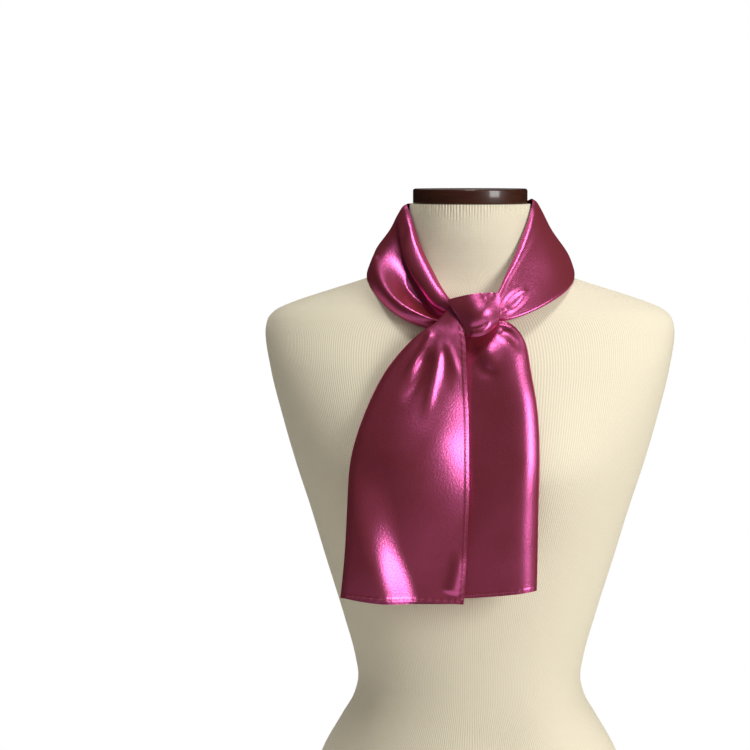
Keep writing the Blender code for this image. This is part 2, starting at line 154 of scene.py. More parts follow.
def rows_of(columns: NamedTuple) -> Iterator[NamedTuple]:
    """The rows of a table that is given as its columns."""
    return map(type(columns)._make, zip(*columns))


def smooth_step(t: np.ndarray) -> np.ndarray:
    """Goes smoothly from 0 to 1 as t does."""
    t = np.clip(t, 0.0, 1.0)
    return t * t * (3 - 2 * t)


def running_sum(steps: np.ndarray, axis: int = 0) -> np.ndarray:
    """The sums of the steps so far, from 0."""
    start = np.zeros_like(np.take(steps, [0], axis=axis))
    return np.concatenate([start, np.cumsum(steps, axis=axis)], axis=axis)


def run_length(points: np.ndarray, axis: int = 0) -> np.ndarray:
    """Length along each line of points, from 0 at its start."""
    return running_sum(np.linalg.norm(np.diff(points, axis=axis), axis=-1), axis)


def point_at(line: np.ndarray, length: float) -> np.ndarray:
    """The point at a length along a line of points."""
    run = run_length(line)
    return np.array([np.interp(length, run, column) for column in line.T])


def spread(count: int, at: np.ndarray, density: np.ndarray) -> np.ndarray:
    """Picks places that lie closer together where a density is higher.

    Args:
        count: How many places to pick.
        at: Rising places where the density is known.
        density: The density at each of them.

    Returns:
        The rising places.
    """
    total = running_sum((density[1:] + density[:-1]) / 2)
    return np.interp(np.linspace(0.0, total[-1], count), total, at)


def graded(
    count: int, fine_at_start: float, fine_at_end: float, reach: float = 0.035
) -> np.ndarray:
    """Picks places from 0 to 1 that crowd towards either end.

    Args:
        count: How many places.
        fine_at_start: How much closer they lie at 0 than in the middle, from 0 for evenly.
        fine_at_end: The same at 1.
        reach: How far from the ends the crowding goes.

    Returns:
        The rising places.
    """
    t = np.linspace(0.0, 1.0, count * 4)
    density = 1 + fine_at_start * np.exp(-t / reach) + fine_at_end * np.exp((t - 1) / reach)
    return spread(count, t, density)


def ripple(points: np.ndarray, wavelength: float, seed: float) -> np.ndarray:
    """A gentle uneven field between about -1 and 1, summed from waves in several directions.

    Args:
        points: Rows of two coordinates, in millimetres.
        wavelength: Typical wavelength, in millimetres.
        seed: Shifts the waves.

    Returns:
        The field at each point.
    """
    total = np.zeros(points.shape[:-1])
    turns = (0.35, 1.15, 1.9, 2.75, 3.6)
    for k, turn in enumerate(turns):
        angle = turn + 0.7 * math.sin(seed * (k + 1.7))
        scale = 2 * math.pi / (wavelength * (0.75 + 0.17 * k))
        along = points[..., 0] * math.cos(angle) + points[..., 1] * math.sin(angle)
        across = points[..., 1] * math.cos(angle) - points[..., 0] * math.sin(angle)
        phase = seed * (2.3 + k) + 1.3 * np.sin(across * scale * 0.45 + seed + k)
        total += np.sin(along * scale + phase)
    return total / len(turns)


class Crease(NamedTuple):
    """A soft ridge along a path of x and z, or a trough where the rise is negative.

    It fades in and out over a share of its path.
    """

    path: tuple[tuple[float, float], ...]
    width: float
    rise: float
    fade_in: float = 0.3
    fade_out: float = 0.3


def crease_field(creases: Sequence[Crease], places: np.ndarray, pieces: int = 25) -> np.ndarray:
    """Adds up how far creases lift the cloth.

    Args:
        creases: The creases.
        places: Rows of x and z in millimetres.
        pieces: How many straight pieces each path is followed in.

    Returns:
        The lift at each place, in millimetres.
    """
    flat = places.reshape(-1, 2)
    total = np.zeros(len(flat))
    for crease in creases:
        knots = np.array(crease.path, float)
        length = run_length(knots)
        fine = natural_spline(length, knots, np.linspace(0, length[-1], pieces + 1))
        best = np.full(len(flat), np.inf)
        progress = np.zeros(len(flat))
        for i in range(pieces):
            start, run = fine[i], fine[i + 1] - fine[i]
            share = np.clip(((flat - start) @ run) / (run @ run), 0.0, 1.0)
            away = flat - (start + share[:, None] * run)
            distance = np.hypot(away[:, 0], away[:, 1])
            nearer = distance < best
            best = np.where(nearer, distance, best)
            progress = np.where(nearer, (i + share) / pieces, progress)
        fade = smooth_step(progress / crease.fade_in)
        fade = fade * smooth_step((1 - progress) / crease.fade_out)
        total += crease.rise * fade * np.exp(-((best / crease.width) ** 2))
    return total.reshape(places.shape[:-1])


# The shape of the torso and of the knot's heart, which the cloth stays clear of


class FormSection(NamedTuple):
    """A horizontal section of the torso."""

    height: float
    half_width: float
    front: float
    back: float
    squareness: float


@dataclass(frozen=True)
class TorsoShape:
    """The torso as sections from the foot to the top of the neck."""

    sections: tuple[FormSection, ...] = table_of(
        FormSection,
        (0.0, 177.0, 97.0, 112.0, 2.25),
        (35.0, 180.0, 99.0, 116.0, 2.25),
        (80.0, 177.0, 99.0, 116.0, 2.25),
        (130.0, 170.0, 97.0, 108.0, 2.25),
        (178.0, 160.0, 94.0, 97.0, 2.25),
        (225.0, 145.5, 90.0, 87.0, 2.2),
        (262.0, 125.0, 86.0, 80.0, 2.15),
        (282.0, 113.5, 84.0, 77.5, 2.1),
        (300.0, 109.5, 83.5, 76.5, 2.1),
        (320.0, 112.5, 84.5, 77.0, 2.1),
        (360.0, 123.5, 89.0, 81.0, 2.15),
        (420.0, 142.0, 97.0, 91.0, 2.2),
        (470.0, 157.0, 107.0, 98.0, 2.25),
        (510.0, 170.0, 113.0, 102.0, 2.3),
        (555.0, 183.0, 108.0, 105.0, 2.35),
        (605.0, 195.5, 91.0, 104.0, 2.35),
        (640.0, 200.5, 73.0, 99.0, 2.2),
        (652.0, 198.5, 67.5, 95.0, 2.1),
        (661.0, 191.0, 63.5, 91.0, 2.0),
        (669.0, 174.0, 60.0, 87.0, 1.9),
        (681.0, 138.0, 57.0, 80.0, 1.8),
        (693.0, 101.0, 55.0, 73.0, 1.8),
        (704.0, 77.0, 54.5, 67.5, 1.9),
        (716.0, 65.5, 55.0, 63.5, 2.0),
        (735.0, 60.5, 57.0, 60.5, 2.0),
        (765.0, 59.0, 58.5, 59.0, 2.0),
    )
    bust_height: float = 508.0
    bust_apart: float = 76.0
    bust_rise: float = 17.0
    bust_spread: float = 54.0

    @property
    def top(self) -> float:
        """Height of the top of the neck."""
        return self.sections[-1].height

    def sizes(self, heights: np.ndarray) -> FormSection:
        """The columns of the sections at each height."""
        return columns_of(self.sections, heights, curve=even_curve)

    def bust(self, x: np.ndarray, height: np.ndarray) -> np.ndarray:
        """Works out how far the bust stands in front of the plain section.

        Args:
            x: Places across the form.
            height: The height of each.

        Returns:
            The distances.
        """
        up = ((height - self.bust_height) / self.bust_spread) ** 2
        left = ((x + self.bust_apart) / self.bust_spread) ** 2
        right = ((x - self.bust_apart) / self.bust_spread) ** 2
        return self.bust_rise * (np.exp(-up - left) + np.exp(-up - right))

    def outside(self, points: np.ndarray) -> np.ndarray:
        """Tells inside from outside.

        Args:
            points: Rows of x, y and z.

        Returns:
            0 for a point on the torso's surface and more outside it.
        """
        x, y, z = points.T
        size = self.sizes(z)
        in_front = y < 0
        y = np.where(in_front, np.minimum(y + self.bust(x, z), 0.0), y)
        depth = np.where(in_front, size.front, size.back)
        power = size.squareness
        sides = (np.abs(x) / size.half_width) ** power + (np.abs(y) / depth) ** power
        return sides ** (1 / power) - 1


@dataclass(frozen=True)
class HeartShape:
    """The rounded heart of the knot."""

    centre: Triple = (1.5, -83.0, 664.0)
    radii: Triple = (18.0, 12.5, 15.5)

    def outside(self, points: np.ndarray) -> np.ndarray:
        """0 on the heart's surface and positive outside it."""
        return np.linalg.norm((points - self.centre) / self.radii, axis=1) - 1


def moved_clear(points: np.ndarray, shape: TorsoShape | HeartShape, gap: float) -> np.ndarray:
    """Moves points straight out until they are clear of a shape.

    Args:
        points: The points, in millimetres.
        shape: What they stay clear of.
        gap: The least distance, in millimetres.

    Returns:
        The moved points.
    """
    rows = points.reshape(-1, 3).copy()
    probe = 0.25
    for _ in range(4):
        value = shape.outside(rows)
        slope = np.empty_like(rows)
        for axis in range(3):
            shift = np.zeros(3)
            shift[axis] = probe
            slope[:, axis] = shape.outside(rows + shift) - shape.outside(rows - shift)
        slope /= 2 * probe
        steep = np.maximum(np.linalg.norm(slope, axis=1), 1e-9)
        rows += slope * (np.maximum(0.0, gap - value / steep) / steep)[:, None]
    return rows.reshape(points.shape)


@dataclass(frozen=True)
class Body:
    """What the scarf lies on, and the room between them."""

    torso: TorsoShape = TorsoShape()
    heart: HeartShape = HeartShape()
    torso_gap: float = 1.1
    heart_gap: float = 0.7

    def clear(self, cloth: np.ndarray) -> np.ndarray:
        """Moves cloth out from the torso and then from the heart of the knot."""
        cloth = moved_clear(cloth, self.torso, self.torso_gap)
        return moved_clear(cloth, self.heart, self.heart_gap)


# Work on meshes, as by hand


def fresh_start() -> None:
    """Leaves edit mode and deselects everything."""
    if bpy.context.object is not None and bpy.context.object.mode != "OBJECT":
        bpy.ops.object.mode_set(mode="OBJECT")
    bpy.ops.object.select_all(action="DESELECT")


def pick(piece: bpy.types.Object) -> None:
    """Makes a piece the only selected one and the active one."""
    fresh_start()
    bpy.context.view_layer.objects.active = piece
    piece.select_set(True)


def named(name: str) -> bpy.types.Object:
    """Gives the active object and its mesh a name.

    Args:
        name: The name of the piece.

    Returns:
        The object.
    """
    piece = bpy.context.active_object
    piece.name = name
    piece.data.name = name
    return piece


def coordinates(piece: bpy.types.Object) -> np.ndarray:
    """The places of a piece's vertices."""
    found = np.empty(len(piece.data.vertices) * 3)
    piece.data.vertices.foreach_get("co", found)
    return found.reshape(-1, 3)


def place_vertices(piece: bpy.types.Object, points: np.ndarray) -> None:
    """Moves a piece's vertices to points given in millimetres."""
    piece.data.vertices.foreach_set("co", (points * MM).ravel())
    piece.data.update()


def select_edges(piece: bpy.types.Object, chosen: Callable[[np.ndarray], bool]) -> None:
    """Goes into edit mode with some edges selected.

    Args:
        piece: The piece.
        chosen: Tells from the places of an edge's two ends whether it is wanted.
    """
    pick(piece)
    bpy.ops.object.mode_set(mode="EDIT")
    bpy.ops.mesh.select_mode(type="EDGE")
    bpy.ops.mesh.select_all(action="DESELECT")
    bpy.ops.object.mode_set(mode="OBJECT")
    places = coordinates(piece)
    for edge in piece.data.edges:
        edge.select = bool(chosen(places[list(edge.vertices)]))
    bpy.ops.object.mode_set(mode="EDIT")


def shade(piece: bpy.types.Object, degrees: float) -> None:
    """Shades a piece smooth apart from edges sharper than an angle."""
    pick(piece)
    bpy.ops.object.shade_smooth_by_angle(angle=math.radians(degrees))


def flat_map(piece: bpy.types.Object) -> bpy.types.MeshUVLoopLayer:
    """The map of a piece, named as the finishes expect it."""
    laid = piece.data.uv_layers.active or piece.data.uv_layers.new()
    laid.name = CLOTH_MAP
    return laid


class Slot(Enum):
    """The record's material slots."""

    SATIN = "satin"
    JERSEY = "jersey"
    WOOD = "dark_wood"


def finish_piece(
    piece: bpy.types.Object, material: bpy.types.Material, replaced: Sequence[str]
) -> None:
    """Dresses a piece and ties it to the frame.

    Args:
        piece: The piece.
        material: Its material.
        replaced: The solids it stands for.
    """
    piece.data.materials.clear()
    piece.data.materials.append(material)
    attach(piece, ROOT)
    if replaced:
        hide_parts(*replaced)
    LOG.info("%s: %d vertices", piece.name, len(piece.data.vertices))


def satin_cloth(
    name: str, points: np.ndarray, satin: bpy.types.Material, replaced: Sequence[str]
) -> bpy.types.Object:
    """Makes a thin shell of satin from a grid primitive.

    Args:
        name: The name of the piece.
        points: Rows and columns of places for the middle of the cloth, in millimetres.
        satin: Its material.
        replaced: The solids it stands for.

    Returns:
        The dressed piece, with a map that lays it flat in metres.
    """
    rows, columns = points.shape[:2]
    fresh_start()
    bpy.ops.mesh.primitive_grid_add(x_subdivisions=columns - 1, y_subdivisions=rows - 1, size=2)
    piece = named(name)
    flat = coordinates(piece)
    column = np.rint((flat[:, 0] + 1) / 2 * (columns - 1)).astype(int)
    row = np.rint((flat[:, 1] + 1) / 2 * (rows - 1)).astype(int)
    place_vertices(piece, points[row, column])
    across = run_length(points, 1).mean(axis=0) * MM
    along = run_length(points).mean(axis=1) * MM
    corner = np.empty(len(piece.data.loops), int)
    piece.data.loops.foreach_get("vertex_index", corner)
    laid = np.column_stack([across[column], along[row]])[corner]
    flat_map(piece).data.foreach_set("uv", laid.ravel())
    pick(piece)
    shell = piece.modifiers.new("shell", "SOLIDIFY")
    shell.thickness = SATIN_THICKNESS * MM
    shell.offset = 0.0
    shell.use_even_offset = False
    bpy.ops.object.modifier_apply(modifier=shell.name)
    shade(piece, 50.0)
    finish_piece(piece, satin, replaced)
    return piece


# Finishes


class Pattern(Enum):
    """The textures that the finishes use."""

    NOISE = "ShaderNodeTexNoise"
    BANDS = "ShaderNodeTexWave"


class Space(Enum):
    """The coordinates that a texture lies in."""

    CLOTH = "UV"
    OBJECT = "Object"


class Bench:
    """A material's node tree, with short ways to add and join nodes."""

    def __init__(self, name: str, **values: object) -> None:
        """Makes a material with a lone principled shader.

        Args:
            name: The name of the material.
            **values: Plain values for the shader's sockets, with spaces as underscores.
        """
        self.material = bpy.data.materials.new(name)
        self.material.use_nodes = True
        self.tree = self.material.node_tree
        self.shader = self.tree.nodes["Principled BSDF"]
        for socket, value in values.items():
            self.shader.inputs[socket.replace("_", " ")].default_value = value

    def add(self, kind: str, **settings: object) -> bpy.types.Node:
        """Adds a node.

        Args:
            kind: The node's type.
            **settings: Attributes, or values for inputs of that name with spaces as underscores.

        Returns:
            The node.
        """
        node = self.tree.nodes.new(kind)
        for name, value in settings.items():
            if hasattr(node, name):
                setattr(node, name, value)
            else:
                node.inputs[name.replace("_", " ")].default_value = value
        return node

    def join(self, start: bpy.types.NodeSocket, end: bpy.types.NodeSocket) -> None:
        """Links two sockets."""
        self.tree.links.new(start, end)

    def texture(
        self, pattern: Pattern, repeats: Triple, space: Space = Space.CLOTH, **settings: object
    ) -> bpy.types.NodeSocket:
        """Adds a texture.

        Args:
            pattern: Its kind.
            repeats: Repeats per metre along each axis.
            space: The coordinates that it lies in.
            **settings: Attributes and values for inputs, as for add.

        Returns:
            Its value from 0 to 1.
        """
        coordinate = self.add("ShaderNodeTexCoord")
        mapping = self.add("ShaderNodeMapping", Scale=repeats)
        node = self.add(pattern.value, Scale=1.0, **settings)
        self.join(coordinate.outputs[space.value], mapping.inputs["Vector"])
        self.join(mapping.outputs["Vector"], node.inputs["Vector"])
        return node.outputs["Fac"]

    def ranged(
        self, value: bpy.types.NodeSocket, low: float, high: float
    ) -> bpy.types.NodeSocket:
        """Maps a value from 0..1 to another range.

        Args:
            value: The value.
            low: What 0 becomes.
            high: What 1 becomes.

        Returns:
            The mapped value.
        """
        node = self.add("ShaderNodeMapRange", To_Min=low, To_Max=high)
        self.join(value, node.inputs["Value"])
        return node.outputs["Result"]

    def paint(self, share: bpy.types.NodeSocket, low: Colour, high: Colour) -> None:
        """Colours the shader by mixing two colours.

        Args:
            share: A value from 0 to 1.
            low: The colour at 0.
            high: The colour at 1.
        """
        ramp = self.add("ShaderNodeValToRGB")
        ramp.color_ramp.elements[0].color = low
        ramp.color_ramp.elements[1].color = high
        self.join(share, ramp.inputs["Fac"])
        self.join(ramp.outputs["Color"], self.shader.inputs["Base Color"])

    def emboss(self, *bumps: tuple[bpy.types.NodeSocket, float, float]) -> None:
        """Gives the shader bumps, each on top of the one before.

        Args:
            *bumps: A height from 0 to 1, how far 1 stands out in metres, and a strength.
        """
        node = None
        for height, distance, strength in bumps:
            below = node
            node = self.add("ShaderNodeBump", Distance=distance, Strength=strength)
            self.join(height, node.inputs["Height"])
            if below is not None:
                self.join(below.outputs["Normal"], node.inputs["Normal"])
        self.join(node.outputs["Normal"], self.shader.inputs["Normal"])


@dataclass(frozen=True)
class SatinFinish:
    """Silk satin: long floating threads that shine, with faint uneven threads and tiny creases."""

    deep: Colour = (0.205, 0.029, 0.022, 1.0)
    bright: Colour = (0.262, 0.039, 0.034, 1.0)
    shine: Colour = (1.0, 0.19, 0.57, 1.0)
    refraction: float = 2.8
    smoothest: float = 0.295
    roughest: float = 0.385
    thread_pitch: float = 0.0006
    weave: float = 0.00002
    slub: float = 0.00028
    crinkle: float = 0.00014

    def material(self, name: str) -> bpy.types.Material:
        """Builds the material.

        Args:
            name: Its name.

        Returns:
            The material.
        """
        bench = Bench(
            name,
            IOR=self.refraction,
            Specular_IOR_Level=1.0,
            Specular_Tint=self.shine,
            Anisotropic=0.3,
            Anisotropic_Rotation=0.25,
        )
        along = bench.add("ShaderNodeTangent", direction_type="UV_MAP", uv_map=CLOTH_MAP)
        bench.join(along.outputs["Tangent"], bench.shader.inputs["Tangent"])
        threads = bench.texture(Pattern.NOISE, (1500.0, 130.0, 1.0), Detail=3.0, Roughness=0.6)
        bench.paint(threads, self.deep, self.bright)
        patches = bench.texture(Pattern.NOISE, (38.0, 38.0, 38.0), Detail=2.0)
        rough = bench.ranged(patches, self.smoothest, self.roughest)
        bench.join(rough, bench.shader.inputs["Roughness"])
        repeats = 1 / self.thread_pitch * WAVE_SCALE
        weave = bench.texture(
            Pattern.BANDS, (repeats, repeats * 0.12, 1.0), bands_direction="X", Distortion=0.6
        )
        crinkles = bench.texture(Pattern.NOISE, (85.0, 46.75, 85.0), Detail=3.0, Roughness=0.5)
        slubs = bench.texture(Pattern.NOISE, (620.0, 420.0, 1.0), Detail=2.0, Roughness=0.7)
        bench.emboss(
            (crinkles, self.crinkle, 0.5), (slubs, self.slub, 0.7), (weave, self.weave, 0.35)
        )
        return bench.material


@dataclass(frozen=True)
class JerseyFinish:
    """Fine ribbed cotton jersey, stretched over the form."""

    shadow: Colour = (0.75, 0.67, 0.49, 1.0)
    light: Colour = (0.86, 0.80, 0.64, 1.0)
    rib_count: float = 430.0
    course_pitch: float = 0.0021
    knit: float = 0.0004
    fuzz: float = 0.0003

    def material(self, name: str) -> bpy.types.Material:
        """Builds the material for a map that runs once round the form and in metres up it.

        Args:
            name: Its name.

        Returns:
            The material.
        """
        bench = Bench(
            name,
            Roughness=0.88,
            Sheen_Weight=0.25,
            Sheen_Roughness=0.5,
            Sheen_Tint=(1.0, 0.95, 0.82, 1.0),
            Specular_IOR_Level=0.25,
        )
        ribs = bench.texture(
            Pattern.BANDS,
            (self.rib_count * WAVE_SCALE, 6.0, 1.0),
            bands_direction="X",
            Distortion=1.2,
            Detail=1.0,
            Detail_Scale=0.4,
        )
        courses = bench.texture(
            Pattern.BANDS,
            (60.0, 1 / self.course_pitch * WAVE_SCALE, 1.0),
            bands_direction="Y",
            Distortion=2.5,
            Detail=2.0,
        )
        product = bench.add("ShaderNodeMath", operation="MULTIPLY")
        bench.join(ribs, product.inputs[0])
        bench.join(bench.ranged(courses, 0.7, 1.0), product.inputs[1])
        knit = product.outputs["Value"]
        bench.paint(knit, self.shadow, self.light)
        fuzz = bench.texture(Pattern.NOISE, (900.0, 900.0, 900.0), Space.OBJECT, Detail=3.0)
        bench.emboss((fuzz, self.fuzz, 0.3), (knit, self.knit, 0.5))
        return bench.material


@dataclass(frozen=True)
class WoodFinish:
    """Dark turned hardwood under clear varnish."""

    dark: Colour = (0.010, 0.0035, 0.0025, 1.0)
    brown: Colour = (0.085, 0.022, 0.010, 1.0)
    pores: float = 0.0001

    def material(self, name: str) -> bpy.types.Material:
        """Builds the material.

        Args:
            name: Its name.

        Returns:
            The material.
        """
        bench = Bench(
            name, Roughness=0.4, Coat_Weight=0.5, Coat_Roughness=0.12, Specular_IOR_Level=0.3
        )
        grain = bench.texture(
            Pattern.NOISE,
            (9.0, 60.0, 420.0),
            Space.OBJECT,
            Detail=6.0,
            Roughness=0.65,
            Distortion=0.6,
        )
        bench.paint(grain, self.dark, self.brown)
        bench.emboss((grain, self.pores, 0.25))
        return bench.material


@dataclass(frozen=True)
class ThreadFinish:
    """Sewing thread, a little lighter than the satin."""

    colour: Colour = (0.50, 0.075, 0.17, 1.0)
    shadow: float = 0.7
    twist: float = 0.00008

    def material(self, name: str) -> bpy.types.Material:
        """Builds the material.

        Args:
            name: Its name.

        Returns:
            The material.
        """
        bench = Bench(name, Roughness=0.55, Sheen_Weight=0.3, Metallic=0.15)
        twist = bench.texture(
            Pattern.BANDS, (700.0, 700.0, 700.0), Space.OBJECT, bands_direction="DIAGONAL"
        )
        darker = tuple(self.shadow * part for part in self.colour[:3]) + (1.0,)
        bench.paint(twist, darker, self.colour)
        bench.emboss((twist, self.twist, 0.5))
        return bench.material


# The dress form


@dataclass
class DressForm:
    """The jersey-covered torso with the fine gathers under its cap."""

    torso: TorsoShape
    around: int = 360
    levels: int = 150
    gathers: int = 124
    gather_depth: float = 0.5
    gather_length: float = 26.0
    crowded_from: float = 625.0
    crowded_over: float = 30.0
    crowding: float = 1.6

    def gathered(self, turn: np.ndarray, height: np.ndarray) -> np.ndarray:
        """Works out how far the gathers at the top of the neck stand out.

        Args:
            turn: Angle round the neck.
            height: Height of each point.

        Returns:
            The lift in millimetres.
        """
        reach = self.gather_length * (1 + 0.45 * np.sin(turn * 9 + 0.7) * np.sin(turn * 4))
        near_top = smooth_step(1 - (self.torso.top - height) / reach)
        wave = np.sin(turn * self.gathers + 0.9 * np.sin(turn * 7) + 0.6 * np.sin(turn * 17))
        return self.gather_depth * near_top**1.3 * (wave - 0.6)

    def build(self, finish: JerseyFinish) -> bpy.types.Object:
        """Models the torso from a cylinder cut into levels.

        Args:
            finish: Its jersey.

        Returns:
            The dressed piece.
        """
        fresh_start()
        bpy.ops.mesh.primitive_cylinder_add(vertices=self.around, radius=1, depth=2)
        piece = named("form_jersey")
        select_edges(piece, lambda ends: abs(ends[1, 2] - ends[0, 2]) > 1)
        bpy.ops.mesh.subdivide_edgering(number_cuts=self.levels - 1, interpolation="LINEAR")
        bpy.ops.object.mode_set(mode="OBJECT")
        start = coordinates(piece)
        level = np.rint((start[:, 2] + 1) / 2 * self.levels).astype(int)
        turn = np.arctan2(start[:, 0], -start[:, 1])
        height = self.level_heights()[level]
        place_vertices(piece, self.surface(turn, height))
        self.lay_map(piece, turn, height)
        shade(piece, 40.0)
        finish_piece(piece, finish.material("cream_jersey"), ["dress_form"])
        return piece

    def level_heights(self) -> np.ndarray:
        """Works out the heights of the levels, closer together on the shoulders and the neck.

        Returns:
            The rising heights.
        """
        probe = np.linspace(0.0, self.torso.top, 600)
        crowded = smooth_step((probe - self.crowded_from) / self.crowded_over)
        return spread(self.levels + 1, probe, 1 + self.crowding * crowded)

    def surface(self, turn: np.ndarray, height: np.ndarray) -> np.ndarray:
        """Works out points of the torso's surface.

        Args:
            turn: Angle round it, 0 at the front.
            height: Height of each point.

        Returns:
            The points in millimetres.
        """
        size = self.torso.sizes(height)
        power = 2 / size.squareness
        across = np.sign(np.sin(turn)) * np.abs(np.sin(turn)) ** power
        along = np.sign(np.cos(turn)) * np.abs(np.cos(turn)) ** power
        gather = self.gathered(turn, height)
        x = (size.half_width + gather) * across
        depth = np.where(along > 0, size.front, size.back) + gather
        bust = np.where(along > 0, self.torso.bust(x, height), 0.0)
        return np.column_stack([x, -depth * along - bust * smooth_step(along * 4), height])

    def lay_map(self, piece: bpy.types.Object, turn: np.ndarray, height: np.ndarray) -> None:
        """Lays a map once round the form and in metres up it, with its join at the back.

        Args:
            piece: The piece.
            turn: Angle of each vertex round it.
            height: Height of each vertex.
        """
        laid = flat_map(piece)
        share = turn / (2 * math.pi)
        for polygon in piece.data.polygons:
            corners = [piece.data.loops[i].vertex_index for i in polygon.loop_indices]
            wraps = len(corners) == 4 and max(share[corners]) - min(share[corners]) > 0.5
            for loop, vertex in zip(polygon.loop_indices, corners):
                u = share[vertex] + (1.0 if wraps and share[vertex] < 0 else 0.0)
                laid.data[loop].uv = (u, height[vertex] * MM)


@dataclass
class NeckCap:
    """The turned wooden disc on the neck."""

    radius: float = 56.0
    low: float = 765.3
    high: float = 780.0
    top_rounding: float = 2.2
    foot_rounding: float = 0.9

    def build(self, finish: WoodFinish) -> bpy.types.Object:
        """Models the disc: a cylinder with rounded edges.

        Args:
            finish: Its wood.

        Returns:
            The dressed piece.
        """
        fresh_start()
        bpy.ops.mesh.primitive_cylinder_add(
            vertices=128,
            radius=self.radius * MM,
            depth=(self.high - self.low) * MM,
            location=(0, 0, (self.low + self.high) / 2 * MM),
        )
        piece = named("cap_wood")
        bpy.ops.object.transform_apply(location=True, rotation=True, scale=True)
        self.round_edge(piece, self.high, self.top_rounding, 5)
        self.round_edge(piece, self.low, self.foot_rounding, 3)
        shade(piece, 40.0)
        finish_piece(piece, finish.material("dark_varnished_wood"), ["neck_cap"])
        return piece

    def round_edge(
        self, piece: bpy.types.Object, height: float, rounding: float, segments: int
    ) -> None:
        """Bevels the rim at a height.

        Args:
            piece: The disc.
            height: Height of the rim.
            rounding: Width of the rounding.
            segments: Facets across it.
        """
        rim = self.radius * MM

        def on_rim(ends: np.ndarray) -> bool:
            """Whether both ends of an edge lie on the rim."""
            flat = np.allclose(ends[:, 2], height * MM, atol=1e-5)
            return flat and np.allclose(np.hypot(ends[:, 0], ends[:, 1]), rim, atol=1e-4)

        select_edges(piece, on_rim)
        bpy.ops.mesh.bevel(offset=rounding * MM, segments=segments, affect="EDGES")
        bpy.ops.object.mode_set(mode="OBJECT")


# The scarf


class Hold(Enum):
    """How a stretch of the scarf is held."""

    HUNG = "hung"
    FOLDED = "folded"


class CollarSection(NamedTuple):
    """A section of the collar at an angle round the neck, from 0 at the front to the right.

    The open edge stands out a little, then come the inner ridge, the hollow and the outer lobe, each
    with its share of the way to the fold and its height above the straight line between the edges.
    """

    angle: float
    inner_radius: float
    inner_height: float
    outer_radius: float
    outer_height: float
    edge: float
    ridge_at: float
    ridge: float
    hollow_at: float
    hollow: float
    lobe_at: float
    lobe: float
    steep: float


